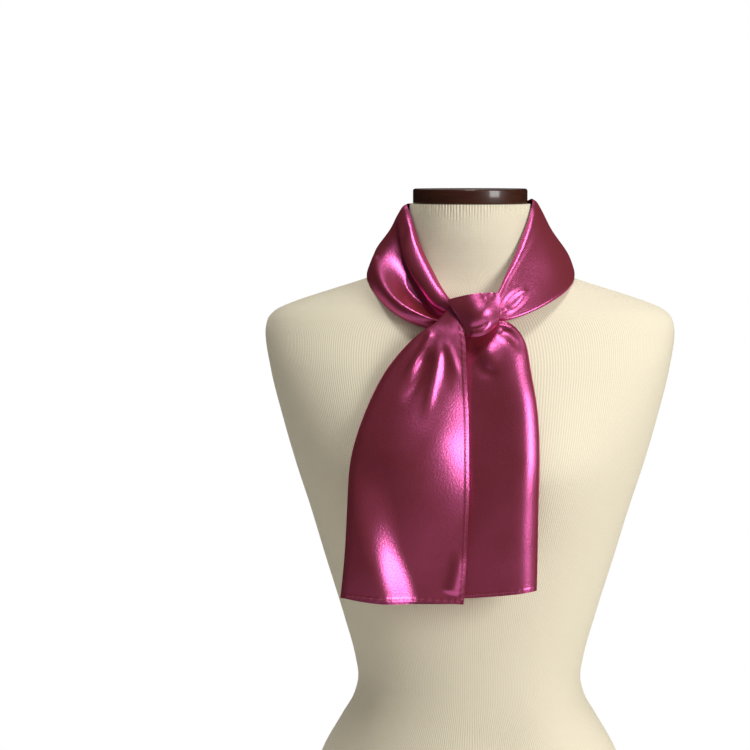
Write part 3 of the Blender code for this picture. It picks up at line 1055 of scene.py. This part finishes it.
@dataclass
class Collar:
    """The stretch of scarf round the neck, from one side of the knot to the other."""

    body: Body
    sections: tuple[CollarSection, ...] = table_of(
        CollarSection,
        (12.5, 81.5, 673.5, 86.0, 657.5, 0.3, 0.15, 1.5, 0.5, 0.8, 0.85, 1.0, 0.0),
        (18.0, 78.0, 681.0, 90.0, 655.5, 1.0, 0.10, 3.2, 0.30, 1.4, 0.93, 0.8, 0.0),
        (25.0, 70.5, 692.5, 92.5, 657.5, 1.0, 0.09, 4.4, 0.26, 2.8, 0.955, 0.3, 0.0),
        (36.0, 64.5, 709.0, 94.5, 663.0, 1.0, 0.085, 5.0, 0.22, 3.6, 0.96, 0.2, 0.0),
        (50.0, 61.5, 730.0, 98.5, 672.0, 1.0, 0.085, 5.0, 0.22, 3.7, 0.96, 0.2, 0.0),
        (64.0, 60.5, 748.0, 102.5, 682.0, 1.0, 0.085, 4.6, 0.24, 3.4, 0.96, 0.3, 0.0),
        (76.0, 60.5, 761.0, 103.0, 690.0, 0.8, 0.09, 3.6, 0.30, 2.6, 0.92, 1.2, 0.0),
        (90.0, 60.5, 769.0, 101.5, 699.0, 0.5, 0.12, 3.0, 0.42, 1.5, 0.82, 3.5, 0.0),
        (112.0, 61.0, 767.5, 96.0, 700.5, 0.5, 0.14, 3.5, 0.42, 2.0, 0.80, 5.0, 0.0),
        (135.0, 61.5, 765.0, 89.0, 698.0, 0.5, 0.16, 4.5, 0.42, 2.0, 0.78, 7.5, 0.1),
        (160.0, 62.0, 762.5, 84.0, 694.5, 0.5, 0.20, 6.0, 0.48, 1.5, 0.78, 9.0, 0.2),
        (185.0, 62.0, 761.5, 83.0, 692.5, 0.5, 0.17, 5.0, 0.42, 2.5, 0.76, 8.5, 0.2),
        (210.0, 61.5, 763.0, 86.0, 694.5, 0.5, 0.14, 4.5, 0.36, 4.0, 0.72, 7.5, 0.1),
        (235.0, 61.5, 764.5, 91.0, 697.5, 0.5, 0.16, 5.5, 0.40, 3.0, 0.74, 8.5, 0.2),
        (256.0, 61.0, 764.5, 97.0, 699.5, 1.0, 0.14, 4.5, 0.40, 3.2, 0.72, 6.0, 0.1),
        (272.0, 59.8, 761.8, 100.5, 697.5, 2.5, 0.10, 4.8, 0.36, 2.0, 0.68, 5.2, 0.2),
        (284.0, 58.8, 754.7, 102.5, 688.0, 2.5, 0.09, 6.2, 0.42, -3.0, 0.72, 7.5, 0.6),
        (298.0, 58.4, 738.2, 103.0, 675.0, 3.0, 0.095, 7.4, 0.48, -8.0, 0.79, 8.5, 0.85),
        (312.0, 60.0, 717.9, 101.0, 662.5, 3.0, 0.10, 8.4, 0.53, -10.5, 0.86, 8.5, 1.0),
        (325.0, 63.7, 700.6, 97.0, 654.5, 3.0, 0.12, 9.3, 0.62, -11.0, 0.90, 7.5, 1.0),
        (335.0, 69.8, 686.6, 92.0, 651.0, 3.0, 0.16, 9.3, 0.72, -7.5, 0.92, 5.5, 1.0),
        (342.5, 76.8, 677.1, 86.0, 652.0, 2.5, 0.22, 6.5, 0.82, -1.5, 0.94, 3.0, 0.6),
        (348.0, 81.0, 670.0, 83.5, 654.5, 0.8, 0.3, 2.5, 0.8, 0.5, 0.92, 1.8, 0.2),
    )
    front_creases: tuple[Crease, ...] = (
        Crease(
            ((30.0, 664.5), (31.5, 671.0), (36.7, 677.0), (43.5, 681.5), (50.0, 681.8),
             (48.5, 675.2), (43.3, 669.3), (36.7, 664.6), (30.0, 664.5)),
            2.3, 1.3, 0.02, 0.02,
        ),
        Crease(((-62.0, 752.0), (-68.0, 733.0), (-72.0, 716.0)), 5.0, -1.8, 0.4, 0.4),
        Crease(((-95.0, 712.0), (-90.0, 722.0), (-80.0, 735.0)), 5.0, -1.6, 0.2, 0.5),
    )
    back_creases: tuple[Crease, ...] = (
        Crease(((-80.0, 745.0), (-40.0, 728.0), (-5.0, 722.0)), 6.0, -2.2, 0.4, 0.4),
        Crease(((-45.0, 712.0), (0.0, 709.0), (40.0, 716.0)), 5.0, 2.0, 0.4, 0.4),
        Crease(((5.0, 742.0), (35.0, 736.0), (70.0, 745.0)), 6.0, -1.8, 0.4, 0.4),
        Crease(((60.0, 724.0), (78.0, 716.0), (95.0, 708.0)), 6.0, 1.8, 0.4, 0.4),
    )
    rows: int = 250
    columns: int = 118
    ply_gap: float = 2.4
    unevenness: float = 0.45
    uneven_length: float = 46.0
    seed: float = 1.3

    def section(self, at: CollarSection) -> np.ndarray:
        """Works out one section, from the upper edge over the fold to the lower edge.

        Args:
            at: Its sizes.

        Returns:
            Rows of a share of the way from the inner to the outer edge and a height above it.
        """
        run, drop = at.hollow_at - at.ridge_at, at.ridge - at.hollow
        under = min(at.hollow, 0.0) - self.ply_gap
        rise = 0.68 - 0.2 * at.steep
        high_at, low_at = 0.42 + 0.28 * at.steep, 0.72 - 0.06 * at.steep
        return np.array([
            (0.0, at.edge),
            (0.35 * at.ridge_at, 0.25 * at.edge + 0.75 * at.ridge),
            (at.ridge_at, at.ridge),
            (at.ridge_at + run * high_at, at.hollow + drop * (0.62 - 0.12 * at.steep)),
            (at.ridge_at + run * low_at, at.hollow + drop * (0.2 + 0.02 * at.steep)),
            (at.hollow_at - run * 0.15 * at.steep, at.hollow + drop * 0.02),
            (0.45 * at.hollow_at + 0.55 * at.lobe_at, rise * at.lobe + (1 - rise) * at.hollow),
            (at.lobe_at, at.lobe),
            (0.5 * at.lobe_at + 0.5, 0.62 * at.lobe),
            (1.0, 0.5 * under + 0.12 * at.lobe),
            (0.95, under),
            (0.6, under - 0.5),
            (0.3, under - 0.5),
            (0.06, at.edge - self.ply_gap),
        ])

    def grid(self) -> np.ndarray:
        """Works out the middle of the cloth.

        Returns:
            A row of places for each section.
        """
        angles = np.linspace(self.sections[0].angle, self.sections[-1].angle, self.rows)
        places = graded(self.columns, 1.5, 1.5)
        rows, outs = [], []
        for angle, at in zip(np.radians(angles), rows_of(columns_of(self.sections, angles))):
            inner = np.array([at.inner_radius, at.inner_height])
            outer = np.array([at.outer_radius, at.outer_height])
            along = outer - inner
            out = np.array([-along[1], along[0]]) / np.linalg.norm(along)
            control = self.section(at)
            control = inner + along * control[:, :1] + out * control[:, 1:]
            length = run_length(control)
            radius, height = natural_spline(length, control, places * length[-1]).T
            around = np.array([math.sin(angle), -math.cos(angle)])
            rows.append(np.column_stack([radius[:, None] * around, height]))
            outs.append(np.append(out[0] * around, out[1]))
        return self.creased(np.array(rows), np.array(outs)[:, None])

    def creased(self, grid: np.ndarray, out: np.ndarray) -> np.ndarray:
        """Adds the creases and the slight unevenness of the cloth, and keeps it clear of the form.

        Args:
            grid: The places of the cloth.
            out: The direction in which it lifts.

        Returns:
            The new places.
        """
        seen, depth = grid[..., [0, 2]], grid[..., 1]
        lift = crease_field(self.front_creases, seen) * smooth_step((10 - depth) / 30)
        lift += crease_field(self.back_creases, seen) * smooth_step((depth + 10) / 30)
        lift += self.unevenness * ripple(seen, self.uneven_length, self.seed)
        return self.body.clear(grid + out * lift[..., None])

    def build(self, satin: bpy.types.Material) -> bpy.types.Object:
        """Models and dresses the collar."""
        nodes = ["collar_left", "collar_back", "collar_right"]
        return satin_cloth("scarf_collar", self.grid(), satin, nodes)


class TailSection(NamedTuple):
    """A section of a tail: its sides, four depths in front of the neck's axis and its opening.

    The cloth also falls back by slope_drop to the right of slope_x.
    """

    height: float
    fold_x: float
    edge_x: float
    edge_drop: float
    fold_depth: float
    outer_depth: float
    inner_depth: float
    edge_depth: float
    opening: float
    slope_x: float = 0.0
    slope_drop: float = 0.0


@dataclass
class Tail:
    """A hanging end of the scarf: two plies that meet in a fold on one side and end in hems."""

    name: str
    node: str
    body: Body
    sections: tuple[TailSection, ...]
    creases: tuple[Crease, ...]
    hem_rise: float
    hem_dip: float
    seed: float
    rows: int = 150
    ply_columns: int = 74
    fold_columns: int = 9
    ply_gap: float = 3.2
    hem_width: float = 4.0
    hem_lift: float = 0.28
    hem_step: float = 1.2
    hem_bend: float = 1.0
    hem_pucker: float = 0.22
    pucker_pitch: float = 6.3
    pucker_at: float = 2.5
    pucker_width: float = 2.6
    slope_width: float = 42.0
    rounding: float = 2.5
    rounding_width: float = 9.0
    unevenness: float = 0.35
    uneven_length: float = 52.0

    @cached_property
    def grid(self) -> np.ndarray:
        """Works out the middle of the cloth.

        Returns:
            A row of places for each height, from edge round fold to edge.
        """
        fold = np.array([(row.fold_x, row.height) for row in self.sections])
        places = run_length(fold)
        down = graded(self.rows, 1.0, 3.0)
        size = columns_of(self.sections, down * places[-1], places=places)
        bend = self.ply_gap / 2
        ply = 1 - graded(self.ply_columns, 3.0, 0.5)
        turn = np.linspace(0.0, np.pi, self.fold_columns + 2)[1:-1]
        still = np.zeros(self.ply_columns)
        across = np.concatenate([ply, np.zeros(self.fold_columns), ply[::-1] * 0.985])
        beyond = np.concatenate([still, np.sin(turn), still])
        behind = np.concatenate([still, 1 - np.cos(turn), still + 2])
        rear = np.concatenate([still, turn / np.pi, still + 1])
        rows = []
        for share, at in zip(down, rows_of(size)):
            side = np.sign(at.edge_x - at.fold_x)
            run = at.edge_x - at.fold_x - side * bend
            x = at.fold_x + side * bend * (1 - beyond) + run * across
            depths = np.array([at.fold_depth, at.outer_depth, at.inner_depth, at.edge_depth])
            depth = natural_spline([0.0, 0.3, 0.62, 1.0], depths, across)
            depth -= at.slope_drop * smooth_step((x - at.slope_x) / self.slope_width + 0.5)
            near_fold = np.clip(1 - np.abs(x - at.fold_x) / self.rounding_width, 0.0, 1.0)
            depth -= self.rounding * near_fold**3 * smooth_step(share * 4 + 0.1)
            opened = at.opening * np.sin(np.pi * across) * rear
            low = share**6
            z = at.height - at.edge_drop * across
            z += low * self.hem_rise * (1 - across) ** self.hem_bend
            z -= low * self.hem_dip * rear * np.sin(np.pi * across**0.8)
            rows.append(np.column_stack([x, -(depth - bend * behind - opened), z]))
        grid = np.array(rows)
        seen = grid[..., [0, 2]]
        lift = crease_field(self.creases, seen)
        uneven = self.unevenness * ripple(seen, self.uneven_length, self.seed)
        lift += uneven * smooth_step(down * 4)[:, None]
        grid[..., 1] -= lift
        grid[..., 1] -= self.hem(grid)
        return self.body.clear(grid)

    def hem(self, grid: np.ndarray) -> np.ndarray:
        """Works out the narrow hems of both free edges and the end, with puckers at the stitches.

        Args:
            grid: The places of the cloth.

        Returns:
            How far they stand out to the front, which is negative on the rear ply.
        """
        from_start, from_top = run_length(grid, 1), run_length(grid)
        to_side = np.minimum(from_start, from_start[:, -1:] - from_start)
        to_end = from_top[-1:] - from_top
        distance = np.minimum(to_side, to_end)
        line = np.where(to_side < to_end, from_top, from_start)
        hem = smooth_step((self.hem_width - distance) / self.hem_step + 0.5)
        pucker = np.sin(line * 2 * np.pi / self.pucker_pitch + 1.7 * np.sin(line / 9.0))
        near = np.exp(-(((distance - self.pucker_at) / self.pucker_width) ** 2))
        front = np.linspace(1.0, -1.0, grid.shape[1])
        facing = np.sign(front) * smooth_step(np.abs(front) * 8)
        return (self.hem_lift * hem + self.hem_pucker * pucker * near) * facing

    def build(self, satin: bpy.types.Material) -> bpy.types.Object:
        """Models and dresses the tail."""
        return satin_cloth(self.name, self.grid, satin, [self.node])

    def stitch_lines(self, inset: float) -> list[np.ndarray]:
        """Finds the lines of stitches on the front ply, down the free edge and along the end.

        Args:
            inset: Distance from the edge, in millimetres.

        Returns:
            Two lines of points on the cloth.
        """
        front = self.grid[:, : self.ply_columns]
        upwards = front[::-1].transpose(1, 0, 2)
        return [np.array([point_at(line, inset) for line in lines]) for lines in (front, upwards)]


class BandLevel(NamedTuple):
    """A level of the knot's band from its top edge at 0 to its bottom edge at 1.

    It gives the places of its left and right edges in the view from the front, and its depths in
    front of the neck's axis at both edges and at two places between them.
    """

    level: float
    left_x: float
    left_z: float
    right_x: float
    right_z: float
    left: float
    inner_left: float
    inner_right: float
    right: float


@dataclass
class KnotBand:
    """The band that crosses over the knot."""

    levels: tuple[BandLevel, ...] = table_of(
        BandLevel,
        (0.0, -23.9, 675.5, 24.2, 682.0, 96.5, 100.6, 100.2, 96.5),
        (0.25, -20.3, 668.3, 25.2, 673.5, 98.0, 104.5, 104.6, 98.5),
        (0.5, -14.8, 660.0, 25.2, 665.0, 99.5, 107.3, 107.8, 100.0),
        (0.72, -10.6, 653.0, 24.6, 658.5, 101.0, 108.0, 107.5, 100.5),
        (0.88, -8.2, 647.5, 23.8, 654.5, 102.0, 108.0, 107.0, 100.5),
        (1.0, -6.9, 641.8, 22.4, 651.3, 102.0, 107.5, 107.0, 99.0),
    )
    top_rise: float = 2.4
    bottom_sag: float = 4.2
    creases: tuple[Crease, ...] = (
        Crease(((24.0, 671.0), (10.0, 665.0), (-6.0, 650.0)), 7.0, 1.1, 0.35, 0.35),
        Crease(((-12.0, 680.0), (-9.0, 670.0), (-5.0, 662.0)), 7.0, -0.9, 0.2, 0.4),
        Crease(((-4.0, 649.0), (6.0, 651.5), (16.0, 657.0)), 3.2, -1.5, 0.3, 0.3),
        Crease(((-5.0, 644.0), (7.0, 646.5), (19.0, 654.5)), 3.4, 1.2, 0.2, 0.3),
        Crease(((9.0, 682.5), (10.5, 678.0), (13.0, 674.0)), 2.0, -0.6, 0.1, 0.6),
        Crease(((18.5, 682.5), (18.0, 678.0), (16.5, 674.5)), 2.0, -0.6, 0.1, 0.6),
    )
    rows: int = 84
    columns: int = 84
    skirt: int = 7
    skirt_depth: float = 13.0
    skirt_width: float = 2.6

    def grid(self) -> np.ndarray:
        """Works out the middle of the cloth, with a skirt that turns back all round.

        Returns:
            Rows of places from the top edge to the bottom edge.
        """
        across = self.with_skirt(self.columns)
        down = self.with_skirt(self.rows)
        inside, levels = np.clip(across, 0.0, 1.0), np.clip(down, 0.0, 1.0)
        arch = np.sin(np.pi * inside)
        rows = []
        for level, at in zip(levels, rows_of(columns_of(self.levels, levels))):
            x = at.left_x * (1 - inside) + at.right_x * inside
            z = at.left_z * (1 - inside) + at.right_z * inside
            z += arch * (self.top_rise * (1 - level) ** 2 - self.bottom_sag * level**3)
            depths = np.array([at.left, at.inner_left, at.inner_right, at.right])
            depth = natural_spline([0.0, 0.3, 0.7, 1.0], depths, inside)
            rows.append(np.column_stack([x, -depth, z]))
        grid = np.array(rows)
        grid[..., 1] -= crease_field(self.creases, grid[..., [0, 2]])
        return self.turned_back(grid, across, down)

    def with_skirt(self, count: int) -> np.ndarray:
        """Places from 0 to 1 with more of them beyond both ends."""
        beyond = np.arange(1, self.skirt + 1) / self.skirt
        return np.concatenate([-beyond[::-1], np.linspace(0.0, 1.0, count), 1 + beyond])

    def turned_back(self, grid: np.ndarray, across: np.ndarray, down: np.ndarray) -> np.ndarray:
        """Turns the skirt back in a tight curve towards the heart of the knot.

        Args:
            grid: The places of the cloth.
            across: The share of the way across of each column, beyond 0 and 1 in the skirt.
            down: The same down the rows.

        Returns:
            The new places.
        """
        past_side = np.maximum(-across, across - 1).clip(0.0)[None, :]
        past_end = np.maximum(-down, down - 1).clip(0.0)[:, None]
        past = np.maximum(past_side, past_end)
        turn = past * np.pi / 2
        centre = grid[self.skirt : -self.skirt, self.skirt : -self.skirt].mean(axis=(0, 1))
        inwards = (centre - grid) * [1.0, 0.0, 1.0]
        inwards /= np.maximum(np.linalg.norm(inwards, axis=2), 1e-6)[..., None]
        grid = grid + inwards * (self.skirt_width * (1 - np.cos(turn)))[..., None]
        grid[..., 1] += self.skirt_depth * np.sin(turn) * (0.4 + 0.6 * past)
        return grid

    def build(self, satin: bpy.types.Material) -> bpy.types.Object:
        """Models and dresses the band."""
        return satin_cloth("scarf_knot_band", self.grid(), satin, ["knot_band"])


@dataclass
class KnotHeart:
    """The layers pressed together inside the knot, which show at its top and behind it."""

    heart: HeartShape
    folds: int = 7
    fold_depth: float = 0.028
    fold_middle: float = 0.965

    def build(self, satin: bpy.types.Material) -> bpy.types.Object:
        """Models the layers as a rounded lump with folds round it.

        Args:
            satin: Its material.

        Returns:
            The dressed piece.
        """
        fresh_start()
        bpy.ops.mesh.primitive_uv_sphere_add(segments=96, ring_count=64, radius=1)
        piece = named("scarf_knot_heart")
        unit = coordinates(piece)
        turn = np.arctan2(unit[:, 1], unit[:, 2] * 1.1)
        fold = self.fold_middle + self.fold_depth * np.sin(turn * self.folds + 2.2 * unit[:, 0])
        place_vertices(piece, np.array(self.heart.centre) + unit * self.heart.radii * fold[:, None])
        flat_map(piece)
        shade(piece, 60.0)
        finish_piece(piece, satin, ["knot_heart"])
        return piece


@dataclass
class Stitches:
    """Small running stitches along a tail's hems."""

    tail: Tail
    name: str
    pitch: float = 3.1
    length: float = 2.0
    radius: float = 0.26
    inset: float = 2.6
    sunk: float = 0.35
    first: float = 3.0
    last: float = 2.0

    def build(self, thread: bpy.types.Material) -> bpy.types.Object:
        """Models the stitches one after another along the hems and joins them.

        Args:
            thread: Their material.

        Returns:
            The dressed piece.
        """
        copies = []
        for line in self.tail.stitch_lines(self.inset):
            end = run_length(line)[-1] - self.length - self.last
            for start in np.arange(self.first, end, self.pitch):
                ends = point_at(line, start), point_at(line, start + self.length)
                copies.append(self.stitch(*ends))
        fresh_start()
        for copy in copies:
            copy.select_set(True)
        bpy.context.view_layer.objects.active = copies[0]
        bpy.ops.object.join()
        piece = named(self.name)
        bpy.ops.object.transform_apply(location=True, rotation=True, scale=True)
        shade(piece, 60.0)
        finish_piece(piece, thread, [])
        return piece

    def stitch(self, start: np.ndarray, end: np.ndarray) -> bpy.types.Object:
        """Models one stitch between two points of the cloth.

        Args:
            start: Where the thread comes out.
            end: Where it goes in.

        Returns:
            The stitch.
        """
        out = Vector((0.0, -(SATIN_THICKNESS / 2 + self.radius * self.sunk), 0.0))
        middle = (Vector(start) + Vector(end)) / 2 + out
        run = Vector(end) - Vector(start)
        fresh_start()
        bpy.ops.mesh.primitive_uv_sphere_add(segments=6, ring_count=4, radius=1)
        piece = bpy.context.active_object
        piece.scale = (self.radius * MM, self.radius * MM, self.length / 2 * MM)
        piece.rotation_mode = "QUATERNION"
        piece.rotation_quaternion = run.to_track_quat("Z", "Y")
        piece.location = middle * MM
        return piece


@dataclass
class Scarf:
    """The whole scarf: collar, knot and two tails."""

    body: Body
    width: float = 0.245

    def front_tail(self) -> Tail:
        """The tail in front, on the left, with its fold on the left and its hems in the middle."""
        return Tail(
            name="scarf_front_tail",
            node="front_tail",
            body=self.body,
            hem_rise=6.0,
            hem_dip=3.5,
            seed=0.4,
            sections=table_of(
                TailSection,
                (670.5, -18.5, -5.0, 13.0, 94.0, 95.5, 96.5, 97.0, 0.0, -92.0, 0.0),
                (663.5, -26.0, -9.0, 10.0, 93.5, 95.5, 97.5, 98.5, 0.0, -92.0, 0.0),
                (654.5, -34.6, -9.5, 8.0, 93.5, 97.0, 100.5, 101.0, 0.0, -92.0, 0.0),
                (648.0, -43.9, -8.5, 6.5, 94.0, 99.0, 103.0, 103.5, 0.0, -92.0, 0.0),
                (638.5, -56.1, -7.5, 4.5, 95.5, 101.5, 106.0, 106.0, 0.0, -92.0, 0.0),
                (625.0, -69.4, -7.0, 2.0, 97.5, 105.0, 109.0, 109.0, 0.0, -92.0, 0.0),
                (612.0, -79.8, -6.6, 0.5, 99.5, 107.5, 112.0, 111.0, 0.5, -92.0, 0.0),
                (598.0, -88.6, -6.2, 0.0, 102.0, 111.0, 116.0, 113.5, 1.0, -92.0, 0.0),
                (575.0, -99.8, -5.2, 0.0, 107.0, 119.0, 125.0, 118.0, 1.5, -92.0, 0.0),
                (551.0, -109.0, -4.8, 0.0, 113.5, 129.0, 135.5, 125.5, 2.0, -92.0, 0.0),
                (525.0, -115.8, -4.8, 0.0, 121.5, 141.8, 147.5, 137.0, 2.0, -101.0, 5.0),
                (495.0, -118.5, -4.8, 0.0, 130.5, 151.0, 157.5, 151.5, 2.0, -97.0, 13.0),
                (455.0, -120.3, -6.2, 0.0, 140.5, 156.0, 160.5, 159.0, 2.5, -88.5, 16.5),
                (420.0, -122.7, -7.8, 0.0, 144.5, 157.0, 160.5, 160.5, 3.5, -78.0, 17.5),
                (391.0, -125.5, -9.8, 0.0, 144.5, 156.0, 159.5, 160.0, 5.0, -70.0, 16.0),
            ),
            creases=(
                Crease(((-38.0, 647.0), (-50.0, 626.0), (-67.5, 599.0)), 3.2, 2.0, 0.15, 0.4),
                Crease(((-42.0, 632.0), (-55.0, 596.0), (-70.0, 576.0)), 6.5, -4.0, 0.25, 0.5),
                Crease(((-31.0, 641.0), (-36.0, 609.0), (-49.0, 556.0)), 4.6, 2.4, 0.25, 0.45),
                Crease(((-27.0, 640.0), (-20.0, 620.0), (-12.5, 598.0)), 3.8, 1.2, 0.25, 0.5),
                Crease(((-27.0, 632.0), (-26.5, 608.0), (-27.0, 584.0)), 5.0, -1.2, 0.4, 0.5),
                Crease(((-13.0, 446.0), (-16.0, 424.0), (-22.0, 400.0)), 6.0, 2.7, 0.5, 0.1),
            ),
        )

    def back_tail(self) -> Tail:
        """The tail behind, on the right, with its fold on the right."""
        return Tail(
            name="scarf_back_tail",
            node="back_tail",
            body=self.body,
            hem_rise=8.0,
            hem_bend=2.0,
            hem_dip=0.0,
            seed=2.9,
            rounding=12.0,
            rounding_width=30.0,
            sections=table_of(
                TailSection,
                (655.0, 19.0, -3.0, 8.5, 89.0, 90.5, 91.0, 89.5, 0.0),
                (654.3, 31.5, -6.0, 10.5, 92.0, 93.0, 92.0, 89.5, 0.0),
                (650.5, 38.5, -9.0, 10.5, 96.0, 96.0, 93.5, 90.0, 0.0),
                (644.5, 44.2, -13.0, 8.5, 101.0, 99.5, 95.0, 90.5, 0.0),
                (635.5, 49.2, -18.0, 6.0, 106.0, 104.5, 98.0, 92.0, 0.0),
                (624.0, 52.2, -26.0, 3.0, 111.5, 108.5, 101.0, 95.0, 0.0),
                (608.0, 54.6, -33.0, 1.0, 117.5, 113.0, 105.0, 99.5, 0.0),
                (588.0, 58.0, -41.0, 0.0, 125.0, 118.0, 109.5, 105.0, 0.0),
                (565.0, 60.8, -47.0, 0.0, 131.0, 123.5, 114.5, 110.5, 0.0),
                (540.0, 61.8, -51.0, 0.0, 136.5, 129.0, 120.5, 117.5, 0.0),
                (515.0, 61.8, -53.0, 0.0, 140.0, 133.5, 126.0, 124.0, 0.0),
                (485.0, 61.0, -54.0, 0.0, 141.0, 136.0, 130.0, 128.5, 0.0),
                (440.0, 60.3, -55.0, 0.0, 141.0, 136.8, 132.5, 131.0, 0.5),
                (394.0, 59.5, -56.0, 0.0, 141.0, 137.0, 133.0, 131.5, 1.0),
            ),
            creases=(
                Crease(((22.0, 652.0), (32.0, 650.0), (43.0, 646.0)), 2.2, 1.5, 0.2, 0.4),
                Crease(((22.0, 647.0), (34.0, 642.0), (46.0, 624.0)), 5.0, -3.0, 0.2, 0.5),
                Crease(((10.0, 644.0), (13.0, 628.0), (16.0, 604.0)), 11.0, 5.0, 0.5, 0.5),
                Crease(((4.0, 622.0), (12.0, 608.0), (26.0, 606.0)), 6.0, -1.5, 0.3, 0.4),
            ),
        )

    def build(self, satin: bpy.types.Material, thread: bpy.types.Material) -> None:
        """Models every stretch and the stitches along each tail.

        Args:
            satin: The material of the cloth.
            thread: The material of the stitches.
        """
        collar = Collar(self.body).build(satin)
        band = KnotBand().build(satin)
        KnotHeart(self.body.heart).build(satin)
        for tail, length in ((self.front_tail(), 0.285), (self.back_tail(), 0.265)):
            cloth = tail.build(satin)
            sewn = Stitches(tail, f"{tail.name}_stitches").build(thread)


# The studio


@dataclass
class Studio:
    """Floor, lights, backdrop and camera."""

    floor_radius: float = 1.1
    camera_place: Triple = (-0.0931, -3.0, 0.807)
    camera_pitch: float = -4.0
    camera_lens: float = 147.0
    aim: Triple = (0.0, -0.1, 0.6)
    backdrop: float = 1.0
    wall_light: float = 0.28
    mirrored_wall: float = 0.012

    def floor(self) -> None:
        """A pale round floor under the form."""
        fresh_start()
        bpy.ops.mesh.primitive_circle_add(
            vertices=96, radius=self.floor_radius, fill_type="NGON", location=(0, 0, -0.0005)
        )
        piece = named("studio_floor")
        bpy.ops.object.transform_apply(location=True, rotation=True, scale=True)
        bench = Bench("pale_floor", Base_Color=(0.86, 0.86, 0.85, 1.0), Roughness=0.7)
        piece.data.materials.append(bench.material)

    def world(self) -> None:
        """White behind the object, with dim walls for soft light and darker ones for reflections."""
        world = bpy.data.worlds.new("studio_world")
        bpy.context.scene.world = world
        world.use_nodes = True
        tree = world.node_tree
        tree.nodes.clear()
        out = tree.nodes.new("ShaderNodeOutputWorld")
        path = tree.nodes.new("ShaderNodeLightPath")
        below = tree.nodes.new("ShaderNodeBackground")
        below.inputs["Color"].default_value = (1.0, 0.97, 0.93, 1.0)
        below.inputs["Strength"].default_value = self.wall_light
        rays = (("Is Glossy Ray", self.mirrored_wall), ("Is Camera Ray", self.backdrop))
        shader = below.outputs["Background"]
        for ray, strength in rays:
            mix = tree.nodes.new("ShaderNodeMixShader")
            seen = tree.nodes.new("ShaderNodeBackground")
            seen.inputs["Strength"].default_value = strength
            seen.inputs["Color"].default_value = (1.0, 1.0, 1.0, 1.0)
            tree.links.new(path.outputs[ray], mix.inputs["Fac"])
            tree.links.new(shader, mix.inputs[1])
            tree.links.new(seen.outputs["Background"], mix.inputs[2])
            shader = mix.outputs["Shader"]
        tree.links.new(shader, out.inputs["Surface"])

    def softbox(
        self,
        name: str,
        turn: float,
        rise: float,
        distance: float,
        size: tuple[float, float],
        power: float,
    ) -> None:
        """Adds an area light that looks at the knot.

        Args:
            name: The light's name.
            turn: Degrees to the right of straight in front of the form.
            rise: Degrees above the knot.
            distance: How far away it stands.
            size: Its width and height.
            power: Its power in watts.
        """
        lamp = bpy.data.lights.new(name, "AREA")
        lamp.shape = "RECTANGLE"
        lamp.size, lamp.size_y = size
        lamp.energy = power
        holder = bpy.data.objects.new(name, lamp)
        bpy.context.scene.collection.objects.link(holder)
        turn, rise = math.radians(turn), math.radians(rise)
        level = math.cos(rise)
        away = Vector((math.sin(turn) * level, -math.cos(turn) * level, math.sin(rise)))
        holder.location = Vector(self.aim) + away * distance
        holder.rotation_euler = (-away).to_track_quat("-Z", "Y").to_euler()
        holder.visible_camera = False

    def lights(self) -> None:
        """Soft boxes round the camera: strong on the right, weaker above and behind."""
        self.softbox("key_right", 49.5, 14.0, 2.4, (0.9, 1.1), 41.0)
        self.softbox("top", -2.0, 74.0, 2.3, (0.5, 0.5), 23.0)
        self.softbox("back", 180.0, 42.0, 2.3, (1.4, 1.0), 7.0)

    def camera(self) -> None:
        """The camera at the picture's angle."""
        data = bpy.data.cameras.new("camera")
        data.lens = self.camera_lens
        data.sensor_width = 36.0
        holder = bpy.data.objects.new("camera", data)
        bpy.context.scene.collection.objects.link(holder)
        holder.location = self.camera_place
        holder.rotation_euler = (math.radians(90 + self.camera_pitch), 0.0, 0.0)
        bpy.context.scene.camera = holder

    def build(self) -> None:
        """Sets the whole studio up."""
        self.floor()
        self.world()
        self.lights()
        self.camera()
        bpy.context.scene.view_settings.view_transform = "Standard"


def corners(box: Sequence[Vector]) -> list[list[float]]:
    """A box as plain lists of numbers."""
    return [[float(value) for value in corner] for corner in box]


def main() -> None:
    """Builds the pieces in order."""
    logging.basicConfig(level=logging.INFO, format="%(name)s: %(message)s")
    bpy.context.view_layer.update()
    body = Body()
    satin = SatinFinish().material("wine_satin")
    thread = ThreadFinish().material("wine_thread")
    DressForm(body.torso).build(JerseyFinish())
    NeckCap().build(WoodFinish())
    Scarf(body).build(satin, thread)
    Studio().build()


if __name__ == "__main__":
    main()
